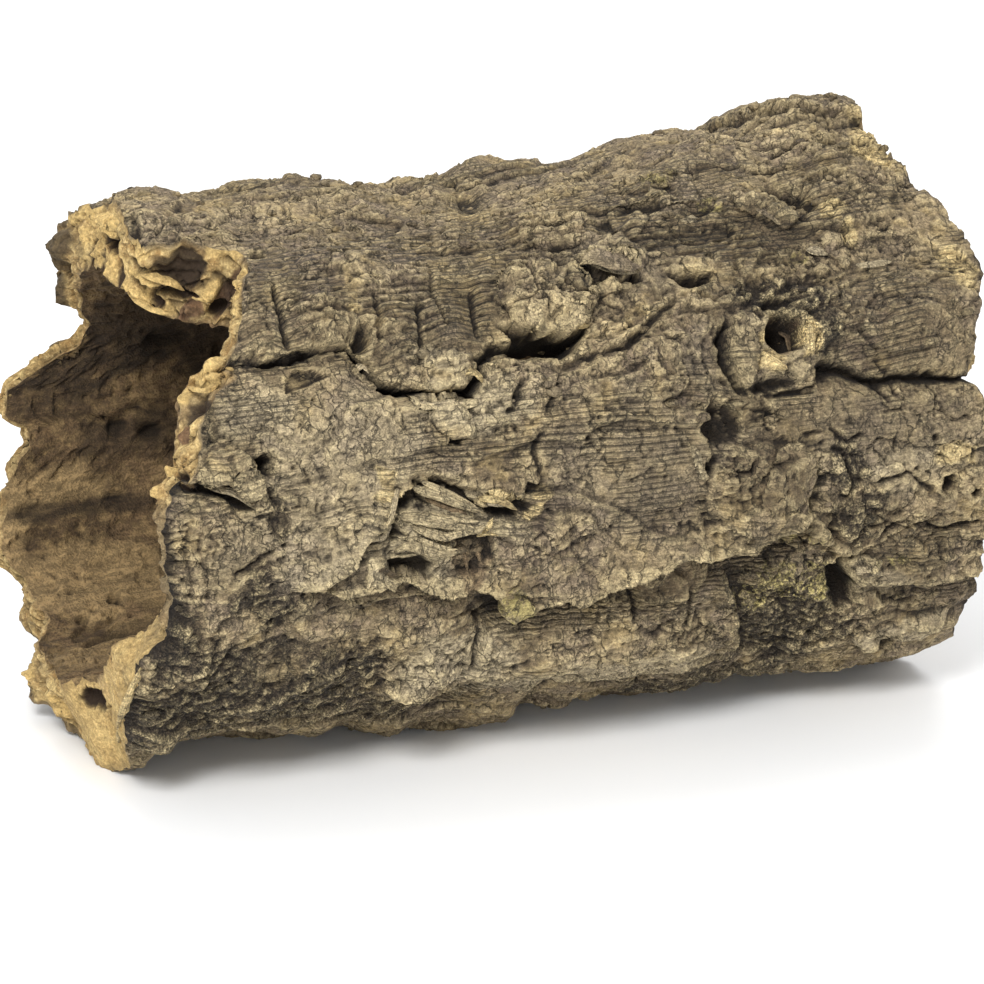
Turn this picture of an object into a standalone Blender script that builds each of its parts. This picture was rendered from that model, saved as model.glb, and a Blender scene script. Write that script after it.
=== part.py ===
"""Cork bark tube: the bark of one cork oak branch, stripped whole, lying on its side.

Frame: +X runs along the tube from the broken left end, +Z is up, and the camera side is -Y.
The origin is on the surface that the tube rests on, under its middle.
Lengths in the design are millimetres, and MM turns them to metres. Places on the bark are
(along, angle): millimetres from the left end, and degrees round the tube, which are 0 at the
front, 90 on top, 180 at the back and 270 underneath.
"""

import math

import bmesh
import bpy
import numpy as np

MM = 0.001

# Driving dimensions
LENGTH = 298.0
OUTER_RADIUS = 98.0
WALL_THICKNESS = 22.0
THINNEST_WALL = 4.5
TRIANGLES = 9400

# The origin, from the middle of the tube's left end: on the resting surface, under the middle
ORIGIN = (139.55, -0.38, -98.0)

# How sharply ledges and scales step, how they and the fissures fade out at their ends, and the
# height of the small steps all over the bark
EDGE_SHARPNESS = 1.2
LEDGE_END = 12.0
FISSURE_END = 5.0
TERRACE = 2.0

# The sampling of the wall before it is thinned to TRIANGLES
STEPS_AROUND = 288
STEPS_OUTSIDE = 150
STEPS_INSIDE = 90
STEPS_ACROSS_END = 11

# How far the outer bark stands over (or under) OUTER_RADIUS, as (along, height), for a line
# along the top and a line along the foot, with the angle and the spread of each
SIDE_LINES = {
    "top": dict(
        angle=107.0, spread=38.0,
        line=((-10, -1), (10, 1), (30, 1), (45, -2), (65, -1), (90, -3), (103, -8), (115, -8), (122, -6),
              (132, -10), (142, -7), (160, -4), (180, -4), (197, -1), (208, 3), (230, 4), (240, 1),
              (248, 5), (257, 10), (282, 12), (298, 10)),
    ),
    "foot": dict(
        angle=289.0, spread=24.0,
        line=((-16, 6), (-4, 5), (6, -3), (12, -5), (32, -5), (50, -1), (60, 1), (70, -3), (90, 2),
              (100, -1), (122, 4), (132, 4), (140, -2), (155, 0), (172, -1), (190, 3), (220, 0), (250, 2),
              (298, 2)),
    ),
}

# How far the wall is thicker than WALL_THICKNESS, as (angle, extra)
WALL_LINE = (
    (0, -3), (20, 1), (40, 1), (70, 6), (95, 6), (125, -2), (150, -9), (165, -11), (198, -11), (220, -7),
    (240, 0), (262, 6), (290, 6), (312, 4), (330, 1), (348, -3), (360, -3),
)

# The ends are broken off unevenly. How far each edge stands out past its end, as (angle, reach).
LEFT_OUTER_EDGE = (
    (0, 9), (10, 10), (14, 7), (19, -2), (29, -7), (33, -12), (37, -21), (40, -19), (45, -24), (54, -30),
    (62, -36), (66, -37), (70, -27), (73, -5), (81, -3), (90, -6), (100, -9), (117, -13), (128, -9),
    (140, -7), (150, -12), (160, -24), (164, -17), (167, -9), (171, -3), (175, 7), (179, 10), (183, 3),
    (187, 0), (194, 8), (201, 14), (212, 17), (221, 9), (228, 13), (235, 9), (243, 17), (250, 20),
    (255, 12), (262, 14), (268, 8), (280, 11), (296, 8), (304, 13), (312, 17), (320, 20), (337, 19),
    (342, 9), (350, 8), (360, 9),
)
LEFT_INNER_EDGE = (
    (0, 4), (8, 6), (15, 4), (20, -1), (36, -4), (41, -10), (45, -25), (61, -34), (65, -28), (68, -18),
    (73, -12), (80, -7), (100, -6), (125, -7), (140, -10), (150, -15), (156, -20), (163, -17), (166, -9),
    (170, 0), (174, 11), (180, 10), (184, 2), (188, 2), (192, 6), (200, 14), (215, 18), (223, 12),
    (238, 11), (249, 18), (262, 20), (284, 24), (296, 17), (312, 19), (328, 22), (335, 11), (342, 7),
    (348, 4), (360, 4),
)
RIGHT_OUTER_EDGE = (
    (0, 0), (12, -2), (20, -5), (27, -4), (34, 1), (42, 5), (48, 1), (56, -3), (64, -11), (83, -13),
    (100, -6), (140, 3), (180, -3), (225, 4), (270, -2), (300, 3), (306, 5), (316, -1), (324, 2),
    (336, -1), (360, 0),
)
RIGHT_INNER_EDGE = (
    (0, -6), (45, -4), (90, -16), (135, -3), (180, -8), (230, -2), (280, -9), (330, -4), (360, -6),
)
END_FALLOFF = 92.0

# How far the bark curls inward at the left end, as (angle, depth), and how fast this fades
CURL_LINE = ((0, 9), (14, 7), (22, 2), (60, 2), (200, 1), (300, 1), (325, 6), (345, 10), (360, 9))
CURL_LENGTH = 8.0
WORN_EDGE = 2.0

# Ledges: bark plates whose edge stands over what lies beside it. The high side is on the left
# when walking along the path. drop is the height of the step, shelf and foot are how far it
# takes to fade out above and below, and lip is how far the edge hangs over.
LEDGES = {
    "main_ledge": dict(
        path=((36, -9), (48, -9), (62, -8.5), (84, -10), (95, -11.5), (104, -12), (109, -14), (112, -19),
              (116, -19.5), (118.5, -17), (130, -17), (141, -17), (150, -14.5), (160, -14), (165, -11.5),
              (180, -10), (192, -11), (203, -9.5), (213, -7), (221, -4.5), (227, -1)),
        drop=14.0, shelf=14, foot=13, lip=4.0,
    ),
    "front_plate": dict(
        path=((30, -10), (42, -7), (50, -4), (57, -1), (62, 1.5), (68, 3.5), (70, 8), (75, 10), (81, 10.5),
              (90, 11)),
        drop=6.5, shelf=10, foot=7, lip=2.0,
    ),
    "second_plate": dict(
        path=((86, 11), (90, 10.5), (95, 8.5), (102, 5.5), (110, 6), (114, 4.5), (118, 8), (123, 7.5),
              (126, 12)),
        drop=5.0, shelf=9, foot=6, lip=1.5,
    ),
    "front_notch": dict(
        path=((-16, 17.5), (-4, 17.5), (4, 16.5), (9, 15.5), (14, 15), (17, 12.5), (21, 10.5), (30, 10)),
        drop=8.0, shelf=8, foot=7, lip=2.0,
    ),
    "upper_skirt": dict(
        path=((228, 25), (240, 24.5), (252, 22), (262, 21), (275, 20), (285, 19.5), (312, 20)),
        drop=3.0, shelf=16, foot=5, lip=1.0,
    ),
    "slab_side": dict(
        path=((186, 1), (187, 6), (186, 10.5), (184, 14.5), (191, 22)),
        drop=3.5, shelf=7, foot=6, lip=0.5,
    ),
    "lower_side": dict(
        path=((212, -48), (208, -40), (205, -33), (201, -25), (196, -16)),
        drop=5.0, shelf=10, foot=9, lip=0.5,
    ),
    "right_ledge": dict(
        path=((244, -25), (254, -26.3), (262, -25.8), (272, -26.8), (285, -26.3), (312, -27)),
        drop=4.5, shelf=8, foot=12, lip=1.0,
    ),
    "upper_step": dict(
        path=((160, 72), (165, 69), (170, 67), (180, 68.5), (190, 68), (200, 66)),
        drop=3.5, shelf=7, foot=6, lip=0.5,
    ),
    "top_slab": dict(
        path=((252, 140), (249, 126), (248, 115), (250, 104), (254, 97), (262, 92), (275, 88), (290, 84),
              (312, 83)),
        drop=5.0, shelf=30, foot=7, lip=1.5,
    ),
    "back_upper_ledge": dict(
        path=((312, 162), (250, 166), (205, 158), (150, 163), (105, 156), (60, 161), (-20, 157)),
        drop=6.0, shelf=12, foot=12, lip=2.0,
    ),
    "back_lower_ledge": dict(
        path=((-20, 206), (35, 203), (80, 212), (120, 207), (170, 214), (215, 206), (262, 211), (318, 207)),
        drop=6.0, shelf=12, foot=12, lip=2.0,
    ),
    "under_ledge": dict(
        path=((-20, 251), (45, 246), (95, 252), (150, 246), (210, 252), (255, 247), (318, 251)),
        drop=6.0, shelf=10, foot=12, lip=1.0,
    ),
}

# Fissures: open splits in the bark. width is half the split's width.
FISSURES = {
    "front_seam": dict(
        path=((8, 40), (30, 39), (45, 40), (62, 39.5), (67, 36), (71, 31.5), (80, 30), (92, 28.5),
              (104, 29.5), (109, 34), (116, 36.5), (131, 37), (143, 37.5), (152, 39)),
        width=3.0, depth=11.0, valley=4.0,
    ),
    "right_seam": dict(
        path=((230, 24.5), (240, 24), (252, 21.5), (262, 20.5), (275, 19.5), (285, 19), (312, 19.5)),
        width=2.0, depth=5.0, valley=3.0,
    ),
    "slab_top": dict(
        path=((134, 31), (150, 32), (163, 33), (170, 35.5), (178, 39), (186, 42)), width=1.5, depth=3.0,
    ),
    "wedge_split": dict(
        path=((201, 37), (197.5, 33), (197, 29), (198.5, 25), (203, 20)), width=1.8, depth=7.0,
    ),
    "knuckle_split": dict(path=((237, -17), (240, -21), (243, -25), (247, -33)), width=4.0, depth=9.0),
    "upper_gouge": dict(path=((232, 68), (240, 64.5), (245, 61), (249, 59)), width=3.2, depth=6.0),
    "back_split": dict(path=((90, 176), (104, 181), (122, 179), (140, 186)), width=2.2, depth=4.5),
    "back_cross_split": dict(path=((236, 168), (231, 178), (238, 190), (233, 202)), width=1.8, depth=4.0),
    "under_split": dict(path=((60, 231), (85, 228), (118, 233), (150, 228)), width=2.2, depth=6.0),
    "top_split": dict(path=((70, 122), (96, 127), (130, 121), (160, 127)), width=2.2, depth=6.0),
}

# Raised scales of bark, and, where rise is negative, places where a scale has come away
SCALES = {
    "block": dict(
        outline=((124, 43), (123, 47), (126, 51), (131, 54.5), (142, 53), (152, 52), (158, 48), (156, 43),
                 (149, 38.8), (140, 39.2), (129, 39.8)),
        rise=4.0, round_over=3.0,
    ),
    "flap": dict(
        outline=((153, 54), (158, 56), (166, 58.5), (171, 57.5), (177, 54), (175, 50), (168, 49), (160, 51)),
        rise=4.5, round_over=2.5,
    ),
    "wedge": dict(
        outline=((200, 36), (205, 37), (210, 35), (210, 28), (206, 23), (202, 21), (199, 27), (199, 33)),
        rise=3.0, round_over=3.0,
    ),
    "recess": dict(
        outline=((190, 20), (184, 14.5), (186, 10.8), (192, 10.5), (198, 11.5), (201, 15), (196, 17.5)),
        rise=-5.0, round_over=2.5,
    ),
    "roll": dict(
        outline=((187, 1), (191, 8), (198, 10.5), (205, 10.3), (215, 9.8), (221, 10), (226, 6.5), (227, 2),
                 (223, -3.5), (213, -6), (203, -8.5), (191, -9.5)),
        rise=4.5, round_over=7.0,
    ),
    "knuckle": dict(
        outline=((216, -7), (226, -4.5), (232, -7), (238, -14.5), (231, -13), (225, -12), (212, -12.5)),
        rise=4.0, round_over=4.0,
    ),
    "low_plate": dict(
        outline=((66, -21), (74, -21), (84, -24), (90, -29), (94, -37), (88, -43), (78, -42), (71, -33)),
        rise=3.0, round_over=3.0,
    ),
    "torn_flake": dict(
        outline=((72, 1), (71, 6), (76, 8), (84, 9.5), (92, 8), (99, 3), (96, 0.5), (86, -1), (76, -2)),
        rise=3.0, round_over=1.6,
    ),
    "back_scale": dict(
        outline=((28, 174), (36, 168), (58, 170), (70, 178), (66, 190), (48, 197), (32, 190)),
        rise=4.5, round_over=5.0,
    ),
    "back_right_scale": dict(
        outline=((176, 172), (200, 169), (220, 176), (222, 190), (204, 200), (182, 196), (170, 184)),
        rise=4.0, round_over=5.0,
    ),
    "back_scar": dict(
        outline=((130, 222), (152, 219), (168, 226), (160, 236), (138, 238), (124, 231)),
        rise=-4.0, round_over=3.0,
    ),
}

# Pits and rounded hollows, and, where depth is negative, rounded lumps
HOLLOWS = {
    "under_block": dict(at=(131, 36.2), half=(13, 5), depth=11.0),
    "seam_hollow": dict(at=(93, 28.6), half=(13, 4), depth=7.0),
    "slope_hollow": dict(at=(194, 46.2), half=(6.5, 4), depth=6.0),
    "under_flap": dict(at=(165, 48.3), half=(11, 3), depth=4.5),
    "knot": dict(at=(221.5, 32.2), half=(8, 8.5), depth=16.0),
    "knot_roof": dict(at=(220, 39), half=(11, 3), depth=4.5),
    "knot_foot": dict(at=(213, 21.6), half=(9, 3), depth=4.5),
    "knot_collar": dict(at=(221, 31), half=(19, 17), depth=-4.5),
    "front_hole": dict(at=(26, 18.5), half=(3.4, 3.4), depth=12.0),
    "band_hole": dict(at=(40.5, 65), half=(3.2, 3.2), depth=8.0),
    "right_hole": dict(at=(280, -4), half=(3.0, 3.0), depth=8.0),
    "tear": dict(at=(78, 6), half=(9, 4), depth=4.0),
    "tear_low": dict(at=(73, -5.8), half=(12, 3.5), depth=5.0),
    "tear_right": dict(at=(111, 2.5), half=(7, 4), depth=4.0),
    "top_lump": dict(at=(20, 104), half=(14, 10), depth=-2.5),
    "left_top_knob": dict(at=(6, 133), half=(10, 11), depth=-5.0),
    "left_top_low_knob": dict(at=(9, 146), half=(6, 6), depth=-4.0),
    "top_small_lump": dict(at=(78, 102), half=(7, 6), depth=-3.0),
    "top_mid_lump": dict(at=(150, 108), half=(10, 8), depth=-3.5),
    "back_knot": dict(at=(150, 150), half=(7, 7), depth=10.0),
    "back_knot_collar": dict(at=(150, 150), half=(17, 16), depth=-5.0),
    "under_knot": dict(at=(214, 230), half=(5, 6), depth=9.0),
    "under_knot_collar": dict(at=(214, 230), half=(14, 13), depth=-4.0),
}

# Hollows and cracks of the inner face
INNER_HOLLOWS = {
    "large_hole": dict(at=(50, 164), half=(9, 6), depth=8.0),
    "left_hole": dict(at=(32, 186.8), half=(5, 5), depth=6.0),
    "right_hole": dict(at=(45, 188.4), half=(5.5, 3.4), depth=5.0),
    "low_hole": dict(at=(17, 233), half=(3, 3.4), depth=6.0),
    "low_small_hole": dict(at=(2, 239), half=(2.4, 2.4), depth=5.0),
    "far_hole": dict(at=(190, 120), half=(6, 5), depth=7.0),
    "under_hole": dict(at=(150, 262), half=(7, 5), depth=7.0),
}
INNER_FISSURES = {
    "back_crack": dict(path=((-12, 204), (8, 203), (22, 202), (34, 204)), width=1.8, depth=4.0),
    "back_ledge": dict(path=((18, 186), (27, 184), (40, 182), (60, 184)), width=2.0, depth=3.0),
    "low_crack": dict(path=((-5, 250), (15, 247), (40, 249)), width=1.8, depth=4.0),
    "roof_crack": dict(path=((40, 120), (110, 116), (180, 122)), width=2.5, depth=5.0),
    "floor_crack": dict(path=((70, 300), (140, 305), (230, 298)), width=2.5, depth=5.0),
}

# Hollows in the broken face of the left end, at (angle, depth), where depth 0 is the bark
FACE_HOLLOWS = {
    "dark_layer": dict(at=(60, 0.38), half=(9, 5), depth=10.0),
    "dark_layer_end": dict(at=(68, 0.5), half=(6, 4), depth=8.0),
    "upper_hole": dict(at=(79, 0.25), half=(3.5, 3), depth=9.0),
    "lower_hole": dict(at=(52, 0.8), half=(3, 3), depth=9.0),
    "mid_hole": dict(at=(69, 0.85), half=(3, 3), depth=7.0),
    "foot_hollow": dict(at=(292, 0.7), half=(6, 4), depth=5.0),
}

CORK_COLOUR = (0.225, 0.180, 0.120, 1.0)


def smooth(t):
    t = np.clip(t, 0.0, 1.0)
    return t * t * (3.0 - 2.0 * t)


def lattice_gradient(cell, seed):
    """Three numbers from -1 to 1 for each lattice point, the same on every run."""
    key = cell.astype(np.int64) & 0xFFFF
    mixed = key[..., 0] * 73856093 ^ key[..., 1] * 19349663 ^ key[..., 2] * 83492791 ^ seed * 2654435761
    mixed = mixed & 0xFFFFFFFF
    mixed = ((mixed ^ (mixed >> 15)) * 2246822519) & 0xFFFFFFFF
    mixed = ((mixed ^ (mixed >> 13)) * 3266489917) & 0xFFFFFFFF
    mixed = mixed ^ (mixed >> 16)
    return np.stack([(mixed >> shift & 0x3FF) / 511.5 - 1.0 for shift in (0, 10, 20)], axis=-1)


def noise(points, size, seed):
    """Smooth noise of about -1 to 1, with lumps about size wide."""
    scaled = points / size
    cell = np.floor(scaled)
    offset = scaled - cell
    blend = offset * offset * offset * (offset * (offset * 6.0 - 15.0) + 10.0)
    total = np.zeros(len(points))
    for corner in np.ndindex(2, 2, 2):
        corner = np.array(corner)
        weight = np.prod(np.where(corner, blend, 1.0 - blend), axis=1)
        total += weight * np.sum(lattice_gradient(cell + corner, seed) * (offset - corner), axis=1)
    return total * 1.3


def layered_noise(points, size, octaves, seed):
    total = np.zeros(len(points))
    strength = 1.0
    for octave in range(octaves):
        total += strength * noise(points, size, seed + octave)
        size *= 0.5
        strength *= 0.5
    return total


def read_line(line, at):
    """The value of a line of (place, value) pairs, with smooth joins."""
    places, values = np.array(line, float).T
    right = np.clip(np.searchsorted(places, at), 1, len(places) - 1)
    share = smooth((at - places[right - 1]) / (places[right] - places[right - 1]))
    return values[right - 1] + share * (values[right] - values[right - 1])


def arc(angle):
    """Millimetres round the bark for an angle in degrees."""
    return angle * math.radians(OUTER_RADIUS)


def near(angle, middle):
    """The angle brought within half a turn of middle."""
    return middle + (angle - middle + 180.0) % 360.0 - 180.0


def follow(along, angle, path, closed=False):
    """Where surface points lie beside a path: signed distance (left is positive), distance in
    from its ends, and the direction away from it."""
    path = np.array(path, float)
    middle = path[:, 1].mean()
    corners = np.column_stack([path[:, 0], arc(path[:, 1])])
    if closed:
        corners = np.vstack([corners, corners[:1]])
    points = np.column_stack([along, arc(near(angle, middle))])
    best = np.full(len(points), np.inf)
    signed = np.zeros(len(points))
    run = np.zeros(len(points))
    away = np.zeros((len(points), 2))
    walked = 0.0
    for start, end in zip(corners[:-1], corners[1:]):
        step = end - start
        length = math.hypot(*step)
        offset = points - start
        share = np.clip(offset @ step / length**2, 0.0, 1.0)
        from_path = offset - share[:, None] * step
        distance = np.hypot(*from_path.T)
        side = (step[0] * offset[:, 1] - step[1] * offset[:, 0]) / length
        rank = distance - 0.001 * np.abs(side)
        closer = rank < best
        best[closer] = rank[closer]
        signed[closer] = (np.where(side >= 0.0, 1.0, -1.0) * distance)[closer]
        run[closer] = (walked + share * length)[closer]
        away[closer] = (from_path / np.maximum(distance, 1e-6)[:, None])[closer]
        walked += length
    if closed:
        area = np.sum(corners[:-1, 0] * corners[1:, 1] - corners[1:, 0] * corners[:-1, 1])
        return signed * math.copysign(1.0, area), run, away
    return signed, np.minimum(run, walked - run), away


def add_ledge(along, angle, height, slide, path, drop, shelf, foot, lip):
    side, inward, away = follow(along, angle, path)
    fade = smooth(inward / LEDGE_END)
    high = smooth(0.5 + 0.5 * side / EDGE_SHARPNESS)
    above = 0.4 * np.exp(-np.abs(side) / shelf)
    below = 0.6 * np.exp(-((side / foot) ** 2))
    height += drop * fade * (high * above - (1.0 - high) * below)
    overhang = lip * fade * high * np.exp(-((side / (2.0 * lip + 1.0)) ** 2))
    slide -= overhang[:, None] * away


def add_fissure(along, angle, height, path, width, depth, valley=0.0):
    side, inward, _ = follow(along, angle, path)
    fade = smooth(inward / FISSURE_END)
    height -= depth * fade * np.exp(-((side / width) ** 2))
    height -= valley * fade * np.exp(-((side / (4.0 * width)) ** 2))


def add_scale(along, angle, height, outline, rise, round_over):
    inside, _, _ = follow(along, angle, outline, closed=True)
    height += rise * smooth(0.5 + 0.5 * inside / EDGE_SHARPNESS) * (0.55 + 0.45 * smooth(inside / round_over))


def add_hollow(along, angle, height, at, half, depth):
    reach = np.hypot((along - at[0]) / half[0], arc(near(angle, at[1]) - at[1]) / half[1])
    height -= depth * smooth(1.25 - reach)


def outer_relief(along, angle, points, left_edge, right_edge):
    """Height of the outer bark over OUTER_RADIUS, and how far it slides (along, round)."""
    height = 2.2 * layered_noise(points * (0.7, 1.0, 1.0), 46.0, 2, seed=3)
    for side in SIDE_LINES.values():
        off = near(angle, side["angle"]) - side["angle"]
        height += read_line(side["line"], along) * np.exp(-((off / side["spread"]) ** 2))
    ragged_along = along + 3.0 * layered_noise(points, 16.0, 3, seed=11)
    ragged_angle = angle + 1.6 * layered_noise(points, 16.0, 3, seed=17)
    slide = np.zeros((len(along), 2))
    for ledge in LEDGES.values():
        add_ledge(ragged_along, ragged_angle, height, slide, **ledge)
    for fissure in FISSURES.values():
        add_fissure(ragged_along, ragged_angle, height, **fissure)
    for scale in SCALES.values():
        add_scale(ragged_along, ragged_angle, height, **scale)
    for hollow in HOLLOWS.values():
        add_hollow(ragged_along, ragged_angle, height, **hollow)
    height -= read_line(CURL_LINE, angle % 360.0) * np.exp(-(along - left_edge) / CURL_LENGTH)
    height -= WORN_EDGE * np.exp(-(right_edge - along) / CURL_LENGTH)
    height += 1.4 * layered_noise(points * (0.5, 1.0, 1.0), 12.0, 3, seed=29)
    step = layered_noise(points * (0.45, 1.0, 1.0), 34.0, 3, seed=61)
    height += TERRACE * (smooth(0.5 + step / 0.06) + smooth(0.5 + (step - 0.35) / 0.06) - 1.0)
    return height, slide


def inner_relief(along, angle, points):
    """How far the inner face stands in from the wall's own thickness."""
    height = 2.0 * layered_noise(points * (0.6, 1.0, 1.0), 40.0, 3, seed=41)
    height += 0.8 * noise(points * (0.25, 1.0, 1.0), 9.0, seed=47)
    for hollow in INNER_HOLLOWS.values():
        add_hollow(along, angle, height, **hollow)
    for fissure in INNER_FISSURES.values():
        add_fissure(along, angle, height, **fissure)
    return height


def broken_edge(edge, angle, depth, ring, seed):
    ragged = 2.0 * layered_noise(ring * (0.0, 1.0, 1.0) * (1.0 - 0.25 * depth[:, None]), 12.0, 3, seed)
    return read_line(edge, angle % 360.0) + ragged


def face_relief(angle, depth):
    """How far the hollows of the broken left end go in."""
    sunk = np.zeros(len(angle))
    for hollow in FACE_HOLLOWS.values():
        off_angle = arc(near(angle, hollow["at"][0]) - hollow["at"][0]) * 0.85
        off_depth = (depth - hollow["at"][1]) * (WALL_THICKNESS + 5.0)
        reach = np.hypot(off_angle / hollow["half"][0], off_depth / hollow["half"][1])
        sunk += hollow["depth"] * smooth(1.25 - reach)
    return sunk


def bark_points(along, angle, depth):
    """The tube's surface points in millimetres. depth is 0 on the bark and 1 on the inner face."""
    turn = np.radians(angle)
    ring = np.column_stack([np.zeros(len(along)), -OUTER_RADIUS * np.cos(turn), OUTER_RADIUS * np.sin(turn)])
    left_share = np.clip(1.0 - along / END_FALLOFF, 0.0, 1.0)
    right_share = np.clip(1.0 - (LENGTH - along) / END_FALLOFF, 0.0, 1.0)
    left_outer = broken_edge(LEFT_OUTER_EDGE, angle, depth, ring, 53)
    left_inner = broken_edge(LEFT_INNER_EDGE, angle, depth, ring, 53)
    right_outer = broken_edge(RIGHT_OUTER_EDGE, angle, depth, ring, 59)
    right_inner = broken_edge(RIGHT_INNER_EDGE, angle, depth, ring, 59)
    outer_along = along - left_outer * left_share + right_outer * right_share
    inner_along = along - left_inner * left_share + right_inner * right_share
    outer_spot = ring + np.outer(outer_along, (1.0, 0.0, 0.0))
    inner_spot = 0.8 * ring + np.outer(inner_along, (1.0, 0.0, 0.0))
    height, slide = outer_relief(outer_along, angle, outer_spot, -left_outer, LENGTH + right_outer)
    outer = OUTER_RADIUS + height
    wall = WALL_THICKNESS + read_line(WALL_LINE, angle % 360.0)
    inner = OUTER_RADIUS - wall - inner_relief(inner_along, angle, inner_spot)
    inner = np.minimum(inner, outer - THINNEST_WALL)
    radius = outer + depth * (inner - outer)
    x = outer_along + depth * (inner_along - outer_along) + slide[:, 0] * (1.0 - depth)
    x += face_relief(angle, depth) * np.where((depth > 0.0) & (depth < 1.0) & (along < 1.0), 1.0, 0.0)
    turn = turn + slide[:, 1] * (1.0 - depth) / OUTER_RADIUS
    return np.column_stack([x, -radius * np.cos(turn), radius * np.sin(turn)])


def clear_scene():
    for item in list(bpy.data.objects):
        bpy.data.objects.remove(item, do_unlink=True)


def wall_profile():
    """The wall's outline at one angle, as (along, radius) points running round the wall."""
    outside, inside = OUTER_RADIUS, OUTER_RADIUS - WALL_THICKNESS
    rows = [(LENGTH * i / STEPS_OUTSIDE, outside) for i in range(STEPS_OUTSIDE)]
    rows += [(LENGTH, outside - WALL_THICKNESS * i / STEPS_ACROSS_END) for i in range(STEPS_ACROSS_END)]
    rows += [(LENGTH - LENGTH * i / STEPS_INSIDE, inside) for i in range(STEPS_INSIDE)]
    rows += [(0.0, inside + WALL_THICKNESS * i / STEPS_ACROSS_END) for i in range(STEPS_ACROSS_END)]
    return rows


def turned_wall(name):
    """A plain tube wall, turned from its outline about the X axis, in millimetres."""
    rows = wall_profile()
    outline = bpy.data.meshes.new(name + "_outline")
    loop = [(i, (i + 1) % len(rows)) for i in range(len(rows))]
    outline.from_pydata([(x, 0.0, radius) for x, radius in rows], loop, [])
    item = bpy.data.objects.new(name + "_outline", outline)
    bpy.context.scene.collection.objects.link(item)
    screw = item.modifiers.new("Turn", "SCREW")
    screw.axis = "X"
    screw.angle = 2.0 * math.pi
    screw.steps = screw.render_steps = STEPS_AROUND
    screw.use_merge_vertices = True
    screw.merge_threshold = 0.0001
    bpy.context.view_layer.update()
    mesh = bpy.data.meshes.new_from_object(item.evaluated_get(bpy.context.evaluated_depsgraph_get()))
    bpy.data.objects.remove(item)
    return mesh


def grow_bark(mesh):
    """Moves each point of the plain wall to its place on the bark, in metres."""
    flat = np.empty(len(mesh.vertices) * 3, np.float32)
    mesh.vertices.foreach_get("co", flat)
    points = flat.reshape(-1, 3).astype(float)
    angle = np.degrees(np.arctan2(points[:, 2], -points[:, 1]))
    radius = np.hypot(points[:, 1], points[:, 2])
    depth = np.clip((OUTER_RADIUS - radius) / WALL_THICKNESS, 0.0, 1.0)
    grown = bark_points(points[:, 0], angle, depth) - ORIGIN
    mesh.vertices.foreach_set("co", (grown * MM).astype(np.float32).ravel())
    mesh.update()


def cork_material():
    material = bpy.data.materials.new("cork_bark")
    material.use_nodes = True
    shader = material.node_tree.nodes["Principled BSDF"]
    shader.inputs["Base Color"].default_value = CORK_COLOUR
    shader.inputs["Roughness"].default_value = 0.92
    shader.inputs["Metallic"].default_value = 0.0
    return material


def make_collection(name):
    collection = bpy.data.collections.new(name)
    bpy.context.scene.collection.children.link(collection)
    return collection


def outward_faces(mesh):
    shaped = bmesh.new()
    shaped.from_mesh(mesh)
    bmesh.ops.recalc_face_normals(shaped, faces=shaped.faces)
    if shaped.calc_volume(signed=True) < 0.0:
        bmesh.ops.reverse_faces(shaped, faces=shaped.faces)
    bmesh.ops.triangulate(shaped, faces=shaped.faces)
    shaped.to_mesh(mesh)
    shaped.free()


def make_tube(collection):
    mesh = turned_wall("cork_tube")
    grow_bark(mesh)
    outward_faces(mesh)
    mesh.name = "cork_tube"
    tube = bpy.data.objects.new("cork_tube", mesh)
    collection.objects.link(tube)
    mesh.materials.append(cork_material())
    thin = tube.modifiers.new("Thin", "DECIMATE")
    thin.ratio = TRIANGLES / len(mesh.polygons)
    return tube


def add_cutter(collection, name, mesh):
    cutter = bpy.data.objects.new(name, mesh)
    collection.objects.link(cutter)
    cutter.hide_render = True
    cutter.display_type = "WIRE"
    return cutter


def ground_cutter(collection):
    """The ground that wears the lowest bark flat."""
    depth = 40.0 * MM
    shaped = bmesh.new()
    bmesh.ops.create_cube(shaped, size=1.0)
    bmesh.ops.scale(shaped, vec=(2.0 * LENGTH * MM, 4.0 * OUTER_RADIUS * MM, depth), verts=shaped.verts)
    bmesh.ops.translate(shaped, vec=(0.0, 0.0, -depth / 2.0), verts=shaped.verts)
    mesh = bpy.data.meshes.new("ground")
    shaped.to_mesh(mesh)
    shaped.free()
    return add_cutter(collection, "ground", mesh)


def cut_away(tube, cutter):
    cut = tube.modifiers.new(cutter.name, "BOOLEAN")
    cut.operation = "DIFFERENCE"
    cut.solver = "EXACT"
    cut.object = cutter


def main():
    clear_scene()
    bark = make_collection("cork_bark_tube")
    cutters = make_collection("cutters")
    tube = make_tube(bark)
    cut_away(tube, ground_cutter(cutters))


main()
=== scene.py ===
"""Cork bark tube: the looks of one hollow, stripped length of cork oak bark lying on its side.

Places on the bark are (along, angle): millimetres from the left end, and degrees round the tube,
which are 0 at the front, 90 on top, 180 at the back and 270 underneath. The shaping works in
millimetres from the tube's axis, and MM turns them to the frame's metres.
"""

import functools
import math
from collections import namedtuple

import bpy
import numpy as np
from mathutils import Matrix, Vector


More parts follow.
